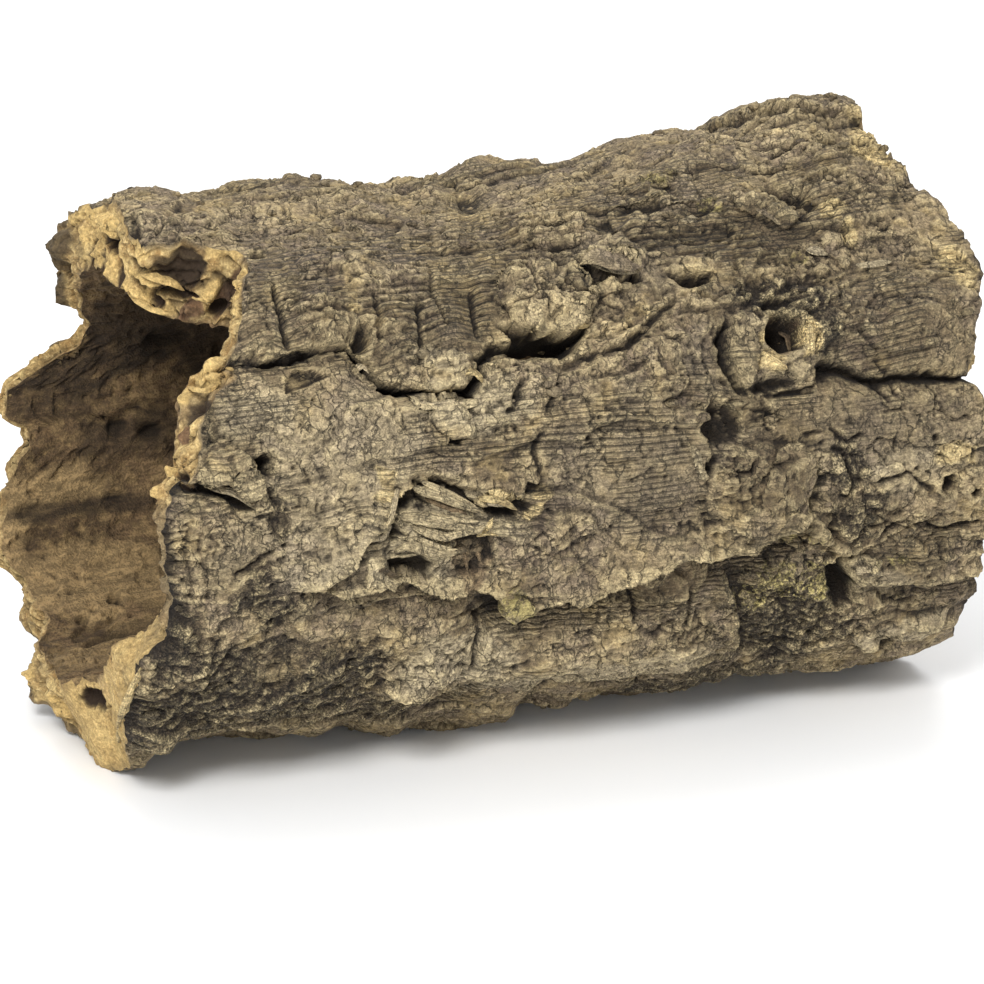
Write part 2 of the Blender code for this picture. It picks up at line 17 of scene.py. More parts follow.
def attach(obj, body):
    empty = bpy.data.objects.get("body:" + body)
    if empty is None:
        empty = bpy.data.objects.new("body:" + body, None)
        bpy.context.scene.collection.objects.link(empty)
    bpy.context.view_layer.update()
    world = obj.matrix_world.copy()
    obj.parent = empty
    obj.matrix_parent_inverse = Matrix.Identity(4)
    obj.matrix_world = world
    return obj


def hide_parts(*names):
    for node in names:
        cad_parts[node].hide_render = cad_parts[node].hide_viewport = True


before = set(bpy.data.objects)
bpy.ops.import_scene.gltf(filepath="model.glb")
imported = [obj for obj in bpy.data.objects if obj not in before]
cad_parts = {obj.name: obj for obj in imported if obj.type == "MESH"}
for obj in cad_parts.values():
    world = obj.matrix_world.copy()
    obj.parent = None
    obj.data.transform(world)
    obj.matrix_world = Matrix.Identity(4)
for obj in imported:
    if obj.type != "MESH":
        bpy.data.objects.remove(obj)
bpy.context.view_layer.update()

bl_info = {
    "name": "Cork Bark Tube",
    "version": (1, 0, 0),
    "blender": (4, 5, 0),
    "location": "View3D > Sidebar > Cork Bark",
    "description": "Builds a weathered cork bark tube with its ledges, fissures, growth lines and torn ends",
    "category": "Add Mesh",
}

MM = 0.001
NODE = "cork_tube"
BODY = "root"

# How finely the outside is sampled: the angles where one piece of it ends and the next starts, the
# columns between them, where these lie closer and by how much, and the rows along it
PIECE_ANGLES = (-80.0, 17.5, 115.0, 280.0)
PIECE_COLUMNS = (271, 271, 270)
DENSE_ANGLES = (61.0, 74.5)
DENSITY = 2.0
OUTSIDE_ROWS = 366

# Every how many of the outside's columns the inside has, the rows along it, and the rows across
# the broken ends
INSIDE_SKIP = 2
INSIDE_ROWS = 200
LEFT_END_ROWS = 43
RIGHT_END_ROWS = 17

# How many crumbs there are, and the rows along and columns round each splinter and each crumb
CRUMBS = 620
SLIVER_ROWS = 36
SLIVER_COLUMNS = 16
CRUMB_ROWS = 6
CRUMB_COLUMNS = 8

# Driving dimensions, in millimetres
LENGTH = 298.0
OUTER_RADIUS = 98.0
WALL_THICKNESS = 22.0
THINNEST_WALL = 4.5

# The origin, from the middle of the tube's left end: on the resting surface, under the middle
ORIGIN = (139.55, -0.38, -98.0)

# How sharply ledges and scales step, how they and the fissures fade out at their ends, and the
# height of the small steps all over the bark
EDGE_SHARPNESS = 1.2
LEDGE_END = 12.0
FISSURE_END = 5.0
TERRACE = 2.0

# How far the outer bark stands over (or under) OUTER_RADIUS, as (along, height), for a line
# along the top and a line along the foot, with the angle and the spread of each
SIDE_LINES = {
    "top": dict(
        angle=107.0, spread=38.0,
        line=((-10, -1), (10, 1), (30, 1), (45, -2), (65, -1), (90, -3), (103, -8), (115, -8), (122, -6),
              (132, -10), (142, -7), (160, -4), (180, -4), (197, -1), (208, 3), (230, 4), (240, 1),
              (248, 5), (257, 10), (282, 12), (298, 10)),
    ),
    "foot": dict(
        angle=289.0, spread=24.0,
        line=((-16, 6), (-4, 5), (6, -3), (12, -5), (32, -5), (50, -1), (60, 1), (70, -3), (90, 2),
              (100, -1), (122, 4), (132, 4), (140, -2), (155, 0), (172, -1), (190, 3), (220, 0), (250, 2),
              (298, 2)),
    ),
}

# How far the wall is thicker than WALL_THICKNESS, as (angle, extra)
WALL_LINE = (
    (0, -3), (20, 1), (40, 1), (70, 6), (95, 6), (125, -2), (150, -9), (165, -11), (198, -11), (220, -7),
    (240, 0), (262, 6), (290, 6), (312, 4), (330, 1), (348, -3), (360, -3),
)

# The ends are broken off unevenly. How far each edge stands out past its end, as (angle, reach),
# and how far along the bark this is felt
LEFT_OUTER_EDGE = (
    (0, 9), (10, 10), (14, 7), (19, -2), (29, -7), (33, -12), (37, -21), (40, -19), (45, -24), (54, -30),
    (62, -36), (66, -37), (70, -27), (73, -5), (81, -3), (90, -6), (100, -9), (117, -13), (128, -9),
    (140, -7), (150, -12), (160, -24), (164, -17), (167, -9), (171, -3), (175, 7), (179, 10), (183, 3),
    (187, 0), (194, 8), (201, 14), (212, 17), (221, 9), (228, 13), (235, 9), (243, 17), (250, 20),
    (255, 12), (262, 14), (268, 8), (280, 11), (296, 8), (304, 13), (312, 17), (320, 20), (337, 19),
    (342, 9), (350, 8), (360, 9),
)
LEFT_INNER_EDGE = (
    (0, 4), (8, 6), (15, 4), (20, -1), (36, -4), (41, -10), (45, -25), (61, -34), (65, -28), (68, -18),
    (73, -12), (80, -7), (100, -6), (125, -7), (140, -10), (150, -15), (156, -20), (163, -17), (166, -9),
    (170, 0), (174, 11), (180, 10), (184, 2), (188, 2), (192, 6), (200, 14), (215, 18), (223, 12),
    (238, 11), (249, 18), (262, 20), (284, 24), (296, 17), (312, 19), (328, 22), (335, 11), (342, 7),
    (348, 4), (360, 4),
)
RIGHT_OUTER_EDGE = (
    (0, 0), (12, -2), (20, -5), (27, -4), (34, 1), (42, 5), (48, 1), (56, -3), (64, -11), (83, -13),
    (100, -6), (140, 3), (180, -3), (225, 4), (270, -2), (300, 3), (306, 5), (316, -1), (324, 2),
    (336, -1), (360, 0),
)
RIGHT_INNER_EDGE = (
    (0, -6), (45, -4), (90, -16), (135, -3), (180, -8), (230, -2), (280, -9), (330, -4), (360, -6),
)
END_FALLOFF = 92.0

# How far the bark curls inward at the left end, as (angle, depth), how far along this fades, and
# how far the right end's edge is worn down
CURL_LINE = ((0, 9), (14, 7), (22, 2), (60, 2), (200, 1), (300, 1), (325, 6), (345, 10), (360, 9))
CURL_LENGTH = 8.0
WORN_EDGE = 2.0

# Ledges: bark plates whose edge stands over what lies beside it. The high side is on the left
# when walking along the path. drop is the height of the step, shelf and foot are how far it
# takes to fade out above and below, and lip is how far the edge hangs over.
LEDGES = {
    "main_ledge": dict(
        path=((36, -9), (48, -9), (62, -8.5), (84, -10), (95, -11.5), (104, -12), (109, -14), (112, -19),
              (116, -19.5), (118.5, -17), (130, -17), (141, -17), (150, -14.5), (160, -14), (165, -11.5),
              (180, -10), (192, -11), (203, -9.5), (213, -7), (221, -4.5), (227, -1)),
        drop=14.0, shelf=14, foot=13, lip=4.0,
    ),
    "front_plate": dict(
        path=((30, -10), (42, -7), (50, -4), (57, -1), (62, 1.5), (68, 3.5), (70, 8), (75, 10), (81, 10.5),
              (90, 11)),
        drop=6.5, shelf=10, foot=7, lip=2.0,
    ),
    "second_plate": dict(
        path=((86, 11), (90, 10.5), (95, 8.5), (102, 5.5), (110, 6), (114, 4.5), (118, 8), (123, 7.5),
              (126, 12)),
        drop=5.0, shelf=9, foot=6, lip=1.5,
    ),
    "front_notch": dict(
        path=((-16, 17.5), (-4, 17.5), (4, 16.5), (9, 15.5), (14, 15), (17, 12.5), (21, 10.5), (30, 10)),
        drop=8.0, shelf=8, foot=7, lip=2.0,
    ),
    "upper_skirt": dict(
        path=((228, 25), (240, 24.5), (252, 22), (262, 21), (275, 20), (285, 19.5), (312, 20)),
        drop=3.0, shelf=16, foot=5, lip=1.0,
    ),
    "slab_side": dict(
        path=((186, 1), (187, 6), (186, 10.5), (184, 14.5), (191, 22)),
        drop=3.5, shelf=7, foot=6, lip=0.5,
    ),
    "lower_side": dict(
        path=((212, -48), (208, -40), (205, -33), (201, -25), (196, -16)),
        drop=5.0, shelf=10, foot=9, lip=0.5,
    ),
    "right_ledge": dict(
        path=((244, -25), (254, -26.3), (262, -25.8), (272, -26.8), (285, -26.3), (312, -27)),
        drop=4.5, shelf=8, foot=12, lip=1.0,
    ),
    "upper_step": dict(
        path=((160, 72), (165, 69), (170, 67), (180, 68.5), (190, 68), (200, 66)),
        drop=3.5, shelf=7, foot=6, lip=0.5,
    ),
    "top_slab": dict(
        path=((252, 140), (249, 126), (248, 115), (250, 104), (254, 97), (262, 92), (275, 88), (290, 84),
              (312, 83)),
        drop=5.0, shelf=30, foot=7, lip=1.5,
    ),
    "back_upper_ledge": dict(
        path=((312, 162), (250, 166), (205, 158), (150, 163), (105, 156), (60, 161), (-20, 157)),
        drop=6.0, shelf=12, foot=12, lip=2.0,
    ),
    "back_lower_ledge": dict(
        path=((-20, 206), (35, 203), (80, 212), (120, 207), (170, 214), (215, 206), (262, 211), (318, 207)),
        drop=6.0, shelf=12, foot=12, lip=2.0,
    ),
    "under_ledge": dict(
        path=((-20, 251), (45, 246), (95, 252), (150, 246), (210, 252), (255, 247), (318, 251)),
        drop=6.0, shelf=10, foot=12, lip=1.0,
    ),
}

# Fissures: open splits in the bark. width is half the split's width.
FISSURES = {
    "left_seam": dict(
        path=((8, 40), (30, 39), (45, 40), (62, 39.5), (68, 36)), width=1.1, depth=7.0, valley=1.5,
    ),
    "front_seam": dict(
        path=((65, 38), (67, 36), (71, 31.5), (80, 30), (92, 28.5), (104, 29.5), (108, 33)),
        width=1.9, depth=10.0, valley=2.5,
    ),
    "block_seam": dict(
        path=((104, 29.5), (109, 34), (116, 36.5), (131, 37), (143, 37.5), (152, 39)),
        width=1.6, depth=7.0, valley=2.5,
    ),
    "right_seam": dict(
        path=((230, 24.5), (240, 24), (252, 21.5), (262, 20.5), (275, 19.5), (285, 19), (312, 19.5)),
        width=2.0, depth=5.0, valley=3.0,
    ),
    "slab_top": dict(
        path=((134, 31), (150, 32), (163, 33), (170, 35.5), (178, 39), (186, 42)), width=1.5, depth=3.0,
    ),
    "wedge_split": dict(
        path=((201, 37), (197.5, 33), (197, 29), (198.5, 25), (203, 20)), width=1.8, depth=7.0,
    ),
    "knuckle_split": dict(path=((237, -17), (240, -21), (243, -25), (247, -33)), width=4.0, depth=9.0),
    "upper_gouge": dict(path=((232, 68), (240, 64.5), (245, 61), (249, 59)), width=3.2, depth=6.0),
    "back_split": dict(path=((90, 176), (104, 181), (122, 179), (140, 186)), width=2.2, depth=4.5),
    "back_cross_split": dict(path=((236, 168), (231, 178), (238, 190), (233, 202)), width=1.8, depth=4.0),
    "under_split": dict(path=((60, 231), (85, 228), (118, 233), (150, 228)), width=2.2, depth=6.0),
    "top_split": dict(path=((70, 122), (96, 127), (130, 121), (160, 127)), width=2.2, depth=6.0),
}

# Raised scales of bark, and, where rise is negative, places where a scale has come away
SCALES = {
    "block": dict(
        outline=((124, 43), (123, 47), (126, 51), (131, 54.5), (142, 53), (152, 52), (158, 48), (156, 43),
                 (149, 38.8), (140, 39.2), (129, 39.8)),
        rise=4.0, round_over=3.0,
    ),
    "flap": dict(
        outline=((153, 54), (158, 56), (166, 58.5), (171, 57.5), (177, 54), (175, 50), (168, 49), (160, 51)),
        rise=4.5, round_over=2.5,
    ),
    "wedge": dict(
        outline=((200, 36), (205, 37), (210, 35), (210, 28), (206, 23), (202, 21), (199, 27), (199, 33)),
        rise=3.0, round_over=3.0,
    ),
    "recess": dict(
        outline=((190, 20), (184, 14.5), (186, 10.8), (192, 10.5), (198, 11.5), (201, 15), (196, 17.5)),
        rise=-5.0, round_over=2.5,
    ),
    "roll": dict(
        outline=((187, 1), (191, 8), (198, 10.5), (205, 10.3), (215, 9.8), (221, 10), (226, 6.5), (227, 2),
                 (223, -3.5), (213, -6), (203, -8.5), (191, -9.5)),
        rise=4.5, round_over=7.0,
    ),
    "knuckle": dict(
        outline=((216, -7), (226, -4.5), (232, -7), (238, -14.5), (231, -13), (225, -12), (212, -12.5)),
        rise=4.0, round_over=4.0,
    ),
    "low_plate": dict(
        outline=((66, -21), (74, -21), (84, -24), (90, -29), (94, -37), (88, -43), (78, -42), (71, -33)),
        rise=3.0, round_over=3.0,
    ),
    "torn_flake": dict(
        outline=((72, 1), (71, 6), (76, 8), (84, 9.5), (92, 8), (99, 3), (96, 0.5), (86, -1), (76, -2)),
        rise=3.0, round_over=1.6,
    ),
    "back_scale": dict(
        outline=((28, 174), (36, 168), (58, 170), (70, 178), (66, 190), (48, 197), (32, 190)),
        rise=4.5, round_over=5.0,
    ),
    "back_right_scale": dict(
        outline=((176, 172), (200, 169), (220, 176), (222, 190), (204, 200), (182, 196), (170, 184)),
        rise=4.0, round_over=5.0,
    ),
    "back_scar": dict(
        outline=((130, 222), (152, 219), (168, 226), (160, 236), (138, 238), (124, 231)),
        rise=-4.0, round_over=3.0,
    ),
}

# Pits and rounded hollows, and, where depth is negative, rounded lumps
HOLLOWS = {
    "under_block": dict(at=(131, 36.2), half=(13, 5), depth=11.0),
    "seam_hollow": dict(at=(99, 28.8), half=(7, 2.6), depth=5.0),
    "slope_hollow": dict(at=(194, 46.2), half=(6.5, 4), depth=6.0),
    "under_flap": dict(at=(165, 48.3), half=(11, 3), depth=4.5),
    "knot": dict(at=(221.5, 32.2), half=(8, 8.5), depth=16.0),
    "knot_roof": dict(at=(220, 39), half=(11, 3), depth=4.5),
    "knot_foot": dict(at=(213, 21.6), half=(9, 3), depth=4.5),
    "knot_collar": dict(at=(221, 31), half=(19, 17), depth=-4.5),
    "front_hole": dict(at=(26, 18.5), half=(3.4, 3.4), depth=12.0),
    "band_hole": dict(at=(40.5, 65), half=(3.2, 3.2), depth=8.0),
    "right_hole": dict(at=(280, -4), half=(3.0, 3.0), depth=8.0),
    "tear": dict(at=(78, 6), half=(9, 4), depth=4.0),
    "tear_low": dict(at=(73, -5.8), half=(12, 3.5), depth=5.0),
    "tear_right": dict(at=(111, 2.5), half=(7, 4), depth=4.0),
    "top_lump": dict(at=(20, 104), half=(14, 10), depth=-2.5),
    "left_top_knob": dict(at=(6, 133), half=(10, 11), depth=-5.0),
    "left_top_low_knob": dict(at=(9, 146), half=(6, 6), depth=-4.0),
    "top_small_lump": dict(at=(78, 102), half=(7, 6), depth=-3.0),
    "top_mid_lump": dict(at=(150, 108), half=(10, 8), depth=-3.5),
    "back_knot": dict(at=(150, 150), half=(7, 7), depth=10.0),
    "back_knot_collar": dict(at=(150, 150), half=(17, 16), depth=-5.0),
    "under_knot": dict(at=(214, 230), half=(5, 6), depth=9.0),
    "under_knot_collar": dict(at=(214, 230), half=(14, 13), depth=-4.0),
}

# Hollows and cracks of the inner face
INNER_HOLLOWS = {
    "large_hole": dict(at=(50, 164), half=(9, 6), depth=8.0),
    "left_hole": dict(at=(32, 186.8), half=(5, 5), depth=6.0),
    "right_hole": dict(at=(45, 188.4), half=(5.5, 3.4), depth=5.0),
    "low_hole": dict(at=(17, 233), half=(3, 3.4), depth=6.0),
    "low_small_hole": dict(at=(2, 239), half=(2.4, 2.4), depth=5.0),
    "far_hole": dict(at=(190, 120), half=(6, 5), depth=7.0),
    "under_hole": dict(at=(150, 262), half=(7, 5), depth=7.0),
}
INNER_FISSURES = {
    "back_crack": dict(path=((-12, 204), (8, 203), (22, 202), (34, 204)), width=1.8, depth=4.0),
    "back_ledge": dict(path=((18, 186), (27, 184), (40, 182), (60, 184)), width=2.0, depth=3.0),
    "low_crack": dict(path=((-5, 250), (15, 247), (40, 249)), width=1.8, depth=4.0),
    "roof_crack": dict(path=((40, 120), (110, 116), (180, 122)), width=2.5, depth=5.0),
    "floor_crack": dict(path=((70, 300), (140, 305), (230, 298)), width=2.5, depth=5.0),
}

# Where the inner face is pale or dark, as (along, angle, half length, half height in mm) and a
# strength where it isn't 1. Both are partly its own mottling and partly painted light and shade:
# pale on much of its floor, which faces up, and dark on much of its roof and along its cracks.
INNER_PALE_AND_LIT_PATCHES = (
    (6, 199, 26, 9), (18, 226, 30, 22), (66, 240, 44, 16, 0.7), (-4, 214, 12, 34), (30, 260, 40, 20, 0.8),
    (120, 220, 50, 20, 0.5), (20, 292, 24, 16, 0.8),
)
INNER_DARK_AND_SHADED_PATCHES = (
    (60, 160, 80, 26), (40, 188, 22, 9, 0.8), (90, 190, 40, 16, 0.7), (26, 205, 30, 3.5, 0.9),
    (70, 128, 70, 30), (16, 178, 18, 7, 0.6), (30, 246, 26, 4, 0.6), (110, 240, 30, 10, 0.6),
)

# The broken face of the left end: its holes and, where depth is negative, its lumps, at (angle,
# depth), where depth 0 is the bark and 1 the inner face. half is in mm, round and across the wall.
# Forms painted sunk are holes laid with painted shade; the other paints are the face's own colours
FACE_FORMS = {
    "upper_dark_lump": dict(at=(134, 0.38), half=(9, 6), depth=-6.0, paint="bark"),
    "lower_dark_lump": dict(at=(149, 0.4), half=(7, 4.5), depth=-4.5, paint="bark"),
    "between_lumps": dict(at=(141, 0.5), half=(2, 4), depth=4.0, paint="sunk"),
    "tan_cap": dict(at=(120, 0.12), half=(13, 3), depth=-1.5, paint="straw"),
    "tan_knob": dict(at=(100, 0.27), half=(12, 2.8), depth=-4.5, paint="straw"),
    "under_knob": dict(at=(96, 0.5), half=(12, 2.2), depth=8.0, paint="sunk"),
    "small_hole": dict(at=(116, 0.58), half=(3, 2.4), depth=5.0, paint="sunk"),
    "strip_gap": dict(at=(90, 0.66), half=(4, 4), depth=6.0, paint="sunk"),
    "tan_patch": dict(at=(75.5, 0.1), half=(3.5, 3.4), depth=-1.5, paint="straw"),
    "patch_hole": dict(at=(76, 0.36), half=(4, 2), depth=5.0, paint="sunk"),
    "upper_band": dict(at=(76, 0.53), half=(8, 1.7), depth=-2.5, paint="straw"),
    "band_gap": dict(at=(74, 0.68), half=(10, 1.5), depth=6.0, paint="sunk"),
    "lower_band": dict(at=(77, 0.9), half=(10, 3.2), depth=-2.0, paint="straw"),
    "band_hole": dict(at=(73.5, 0.86), half=(2.6, 2.8), depth=8.0, paint="sunk"),
    "sunk_layer": dict(at=(70.5, 0.34), half=(2.6, 6.5), depth=3.0, paint="bark"),
    "orange_edge": dict(at=(67.8, 0.03), half=(3.0, 2.0), depth=-1.0, paint="straw"),
    "pillar": dict(at=(66.8, 0.55), half=(0.9, 4.5), depth=-2.5, paint="straw"),
    "black_hole": dict(at=(65.2, 0.78), half=(1.4, 2.6), depth=8.0, paint="sunk"),
    "purple_layer": dict(at=(67.8, 0.84), half=(2.0, 4.0), depth=1.0, paint="red"),
    "red_wall": dict(at=(64.5, 0.5), half=(2.2, 9.0), depth=2.5, paint="red"),
    "tan_wall": dict(at=(56, 0.2), half=(8, 4.0), depth=-0.8, paint="straw"),
    "low_wall_hole": dict(at=(52, 0.7), half=(2.0, 2.4), depth=5.0, paint="sunk"),
    "rim_knob": dict(at=(39.5, 0.4), half=(5, 5), depth=-4.0, paint="straw"),
    "rim_low_knob": dict(at=(36.2, 0.75), half=(3, 3), depth=-3.0, paint="straw"),
    "wavy_layers": dict(at=(31, 0.4), half=(5, 6), depth=2.5, paint="bark"),
    "rim_red_top": dict(at=(27, 0.6), half=(3, 4), depth=0.0, paint="red"),
    "rim_slot": dict(at=(17.5, 0.4), half=(1.4, 7), depth=4.0, paint="sunk"),
    "rim_pink_knob": dict(at=(18.5, 0.85), half=(2.2, 2.6), depth=-3.0, paint="straw"),
    "rim_small_knob": dict(at=(13.5, 0.6), half=(2.0, 3.2), depth=-2.4, paint="straw"),
    "foot_slot": dict(at=(304, 0.55), half=(9, 1.4), depth=4.0, paint="red"),
    "foot_hollow": dict(at=(292, 0.8), half=(6, 3), depth=5.0, paint="sunk"),
    "foot_lump": dict(at=(262, 0.4), half=(6, 5), depth=-3.0, paint="straw"),
    "foot_small_lump": dict(at=(246, 0.4), half=(4, 4), depth=-3.0, paint="straw"),
    "back_lump": dict(at=(205, 0.4), half=(7, 4), depth=-2.5, paint="bark"),
}

BARK_FINISH = "weathered_virgin_cork_bark"
CORK_IOR = 1.45

# Colours that go with the ones in the panel: of bark, splinters, broken cork and the inner face
DARK_BARK = "#5a4d3a"
# Deep bark, also laid as painted shade where the bark is marked dark
DEEP_BARK_AND_SHADE = "#443827"
GREY_BARK = "#655b4b"
# Pale bark, also laid as painted light where the bark is marked pale
PALE_AND_LIT_BARK = "#a3967a"
# Worn bark, also laid as a painted highlight on raised edges
WORN_AND_HIGHLIGHT_BARK = "#aa9a74"
MAUVE_BARK = "#6b5e53"
OCHRE_BARK = "#8d7a52"
CRUST = "#1d1710"
BROWN_WOOD = "#54422f"
SPLINTER_DARK = "#74654a"
SPLINTER_LIGHT = "#b9aa85"
TORN_DARK = "#9c7c4a"
TORN_LIGHT = "#ceb682"
STRAW = "#c2a56a"
RED_LAYER = "#5e3f30"
TORN_PALE = "#d9c894"
OLD_BREAK = "#6b5d47"
# Painted shade of the holes and recesses in the broken ends
HOLLOW_SHADE = "#2c1f14"
INNER_DARK = "#3f301d"
INNER_LIGHT = "#88714b"
# Pale inner face, also laid as painted light on the inside's floor
INNER_PALE_AND_LIT = "#957d56"
# Deep inner face, also laid as painted shade on the inside's roof and in its cracks
INNER_DEEP_AND_SHADE = "#241a10"

# The sky light of a white studio
AIR = "#fbfcff"

# How far apart the yearly growth lines lie, and the layers in the broken ends
GROWTH_LINE_SPACING = 2.0
END_LAYER = 3.2

# How much more growth lines bend round a column of bark than round other forms
ARCHING = 2.2

# How fresh the break is round each end, as (angle, share): 1 is bare tan cork, 0 is greyed
FRESH_LINE = (
    (0, 0.15), (9, 0.2), (14, 0.8), (28, 1), (31, 0.35), (36, 0.4), (39, 1), (44, 0.9), (100, 1),
    (130, 0.8), (154, 0.9), (170, 0.95), (190, 0.7), (230, 0.8), (260, 0.9), (285, 1), (318, 1),
    (330, 0.9), (340, 0.4), (350, 0.1), (360, 0.15),
)
WORN_LINE = ((0, 0.4), (40, 0.8), (90, 0.9), (140, 0.7), (230, 0.6), (300, 0.5), (360, 0.4))

# The middle of the camera's view, in the frame's metres
VIEW_CENTRE = (0.00421, -0.0021, 0.07681)

# What only the looks need: smaller scales, ledges, splits and holes than the solid has
SMALL_SCALES = {
    "right_edge_plate": dict(
        outline=((258, -46), (262, -50), (276, -52), (290, -49), (297, -40), (286, -37), (268, -40)),
        rise=2.6, round_over=2.0,
    ),
    "right_hollow": dict(
        outline=((262, -43), (266, -47.5), (272, -45), (270, -42.5)), rise=-3.4, round_over=1.4,
    ),
    "pale_scale": dict(
        outline=((176, 60), (180, 66), (192, 70), (200, 66), (198, 60), (186, 58)), rise=1.8, round_over=1.4,
    ),
    "centre_lip": dict(
        outline=((150, 22), (149, 30), (166, 32.5), (180, 37), (186, 34), (184, 26), (170, 23)), rise=1.0,
        round_over=2.2,
    ),
    "edge_chip": dict(
        outline=((98, 13), (96, 20), (104, 24), (113, 22), (115, 15), (107, 12)), rise=1.5, round_over=1.6,
    ),
}
SMALL_LEDGES = {
    "upper_band_edge": dict(
        path=((8, 41), (30, 40), (45, 41), (62, 40.5), (68, 37), (72, 32.5), (80, 31), (92, 29.5),
              (104, 30.5), (109, 35)),
        drop=4.0, shelf=12, foot=5, lip=2.5,
    ),
}
SMALL_SPLITS = {
    "band_crack": dict(path=((40, 56), (39.5, 50), (40, 41)), width=0.9, depth=3.5),
    "band_slot": dict(path=((69.5, 45), (68, 42), (66, 38)), width=1.8, depth=6.0),
    "band_fine_crack": dict(path=((98, 56), (97, 48), (99, 40)), width=0.6, depth=2.0),
    "plate_crack": dict(path=((251, 20), (255, 18), (259, 14)), width=1.3, depth=4.0),
    "front_crack": dict(path=((110, 22), (118, 25), (123, 31)), width=1.5, depth=3.5),
    "front_low_crack": dict(path=((96, 25), (104, 22), (112, 24)), width=1.1, depth=2.6),
    "low_band_crack": dict(path=((161, -19), (163, -24), (164, -30)), width=0.9, depth=2.6),
    "low_band_left_crack": dict(path=((106, -22), (105.5, -30), (107, -38)), width=0.9, depth=2.4),
    "low_band_far_crack": dict(path=((183, -20), (184, -28), (182, -36)), width=0.8, depth=2.0),
    "hump_low_crack": dict(path=((240, 76), (256, 78), (270, 76), (284, 79)), width=1.0, depth=2.6),
    "right_crack": dict(path=((232, 12), (240, 8), (250, 9)), width=1.0, depth=2.6),
    "right_long_crack": dict(path=((236, 2), (250, -2), (262, -1), (276, -6)), width=1.2, depth=2.8),
    "right_low_crack": dict(path=((252, -14), (264, -11), (280, -14), (296, -12)), width=1.2, depth=3.0),
    "stain_crack": dict(path=((8, -6), (20, -1), (33, 3)), width=0.9, depth=1.8),
    "curl_crack": dict(path=((-4, 8), (-2, 0), (-3, -10)), width=1.0, depth=1.6),
    "curl_second_crack": dict(path=((1, 6), (3, -2), (2, -12)), width=0.8, depth=1.4),
}
SMALL_HOLES = {
    "band_pit": dict(at=(60, 65), half=(1.4, 1.4), depth=3.0),
    "seam_pit": dict(at=(74, 31), half=(2.2, 2.6), depth=5.0),
    "slope_hole": dict(at=(201, 51), half=(1.3, 2.4), depth=6.0),
    "right_pit": dict(at=(275, 6), half=(1.6, 1.4), depth=3.0),
    "right_edge_hole": dict(at=(291, -6), half=(2.2, 2.0), depth=5.0),
    "plate_pit": dict(at=(44, 30), half=(1.0, 1.0), depth=2.6),
    "top_left_pit": dict(at=(30, 72), half=(1.3, 1.3), depth=3.0),
    "top_pit": dict(at=(120, 84), half=(1.4, 1.4), depth=3.0),
    "hump_pit": dict(at=(262, 81), half=(2.4, 2.0), depth=3.5),
    "low_pit": dict(at=(142, -30), half=(1.0, 1.0), depth=2.4),
    "back_pit": dict(at=(60, 184), half=(1.6, 1.6), depth=4.0),
    "crest_lump": dict(at=(138, 90), half=(6, 5), depth=-3.0),
    "crest_small_lump": dict(at=(87, 88), half=(4, 4), depth=-2.0),
    "crest_right_lump": dict(at=(195, 90), half=(6, 5), depth=-2.5),
    "hump_lump": dict(at=(250, 95), half=(6, 6), depth=-3.0),
}
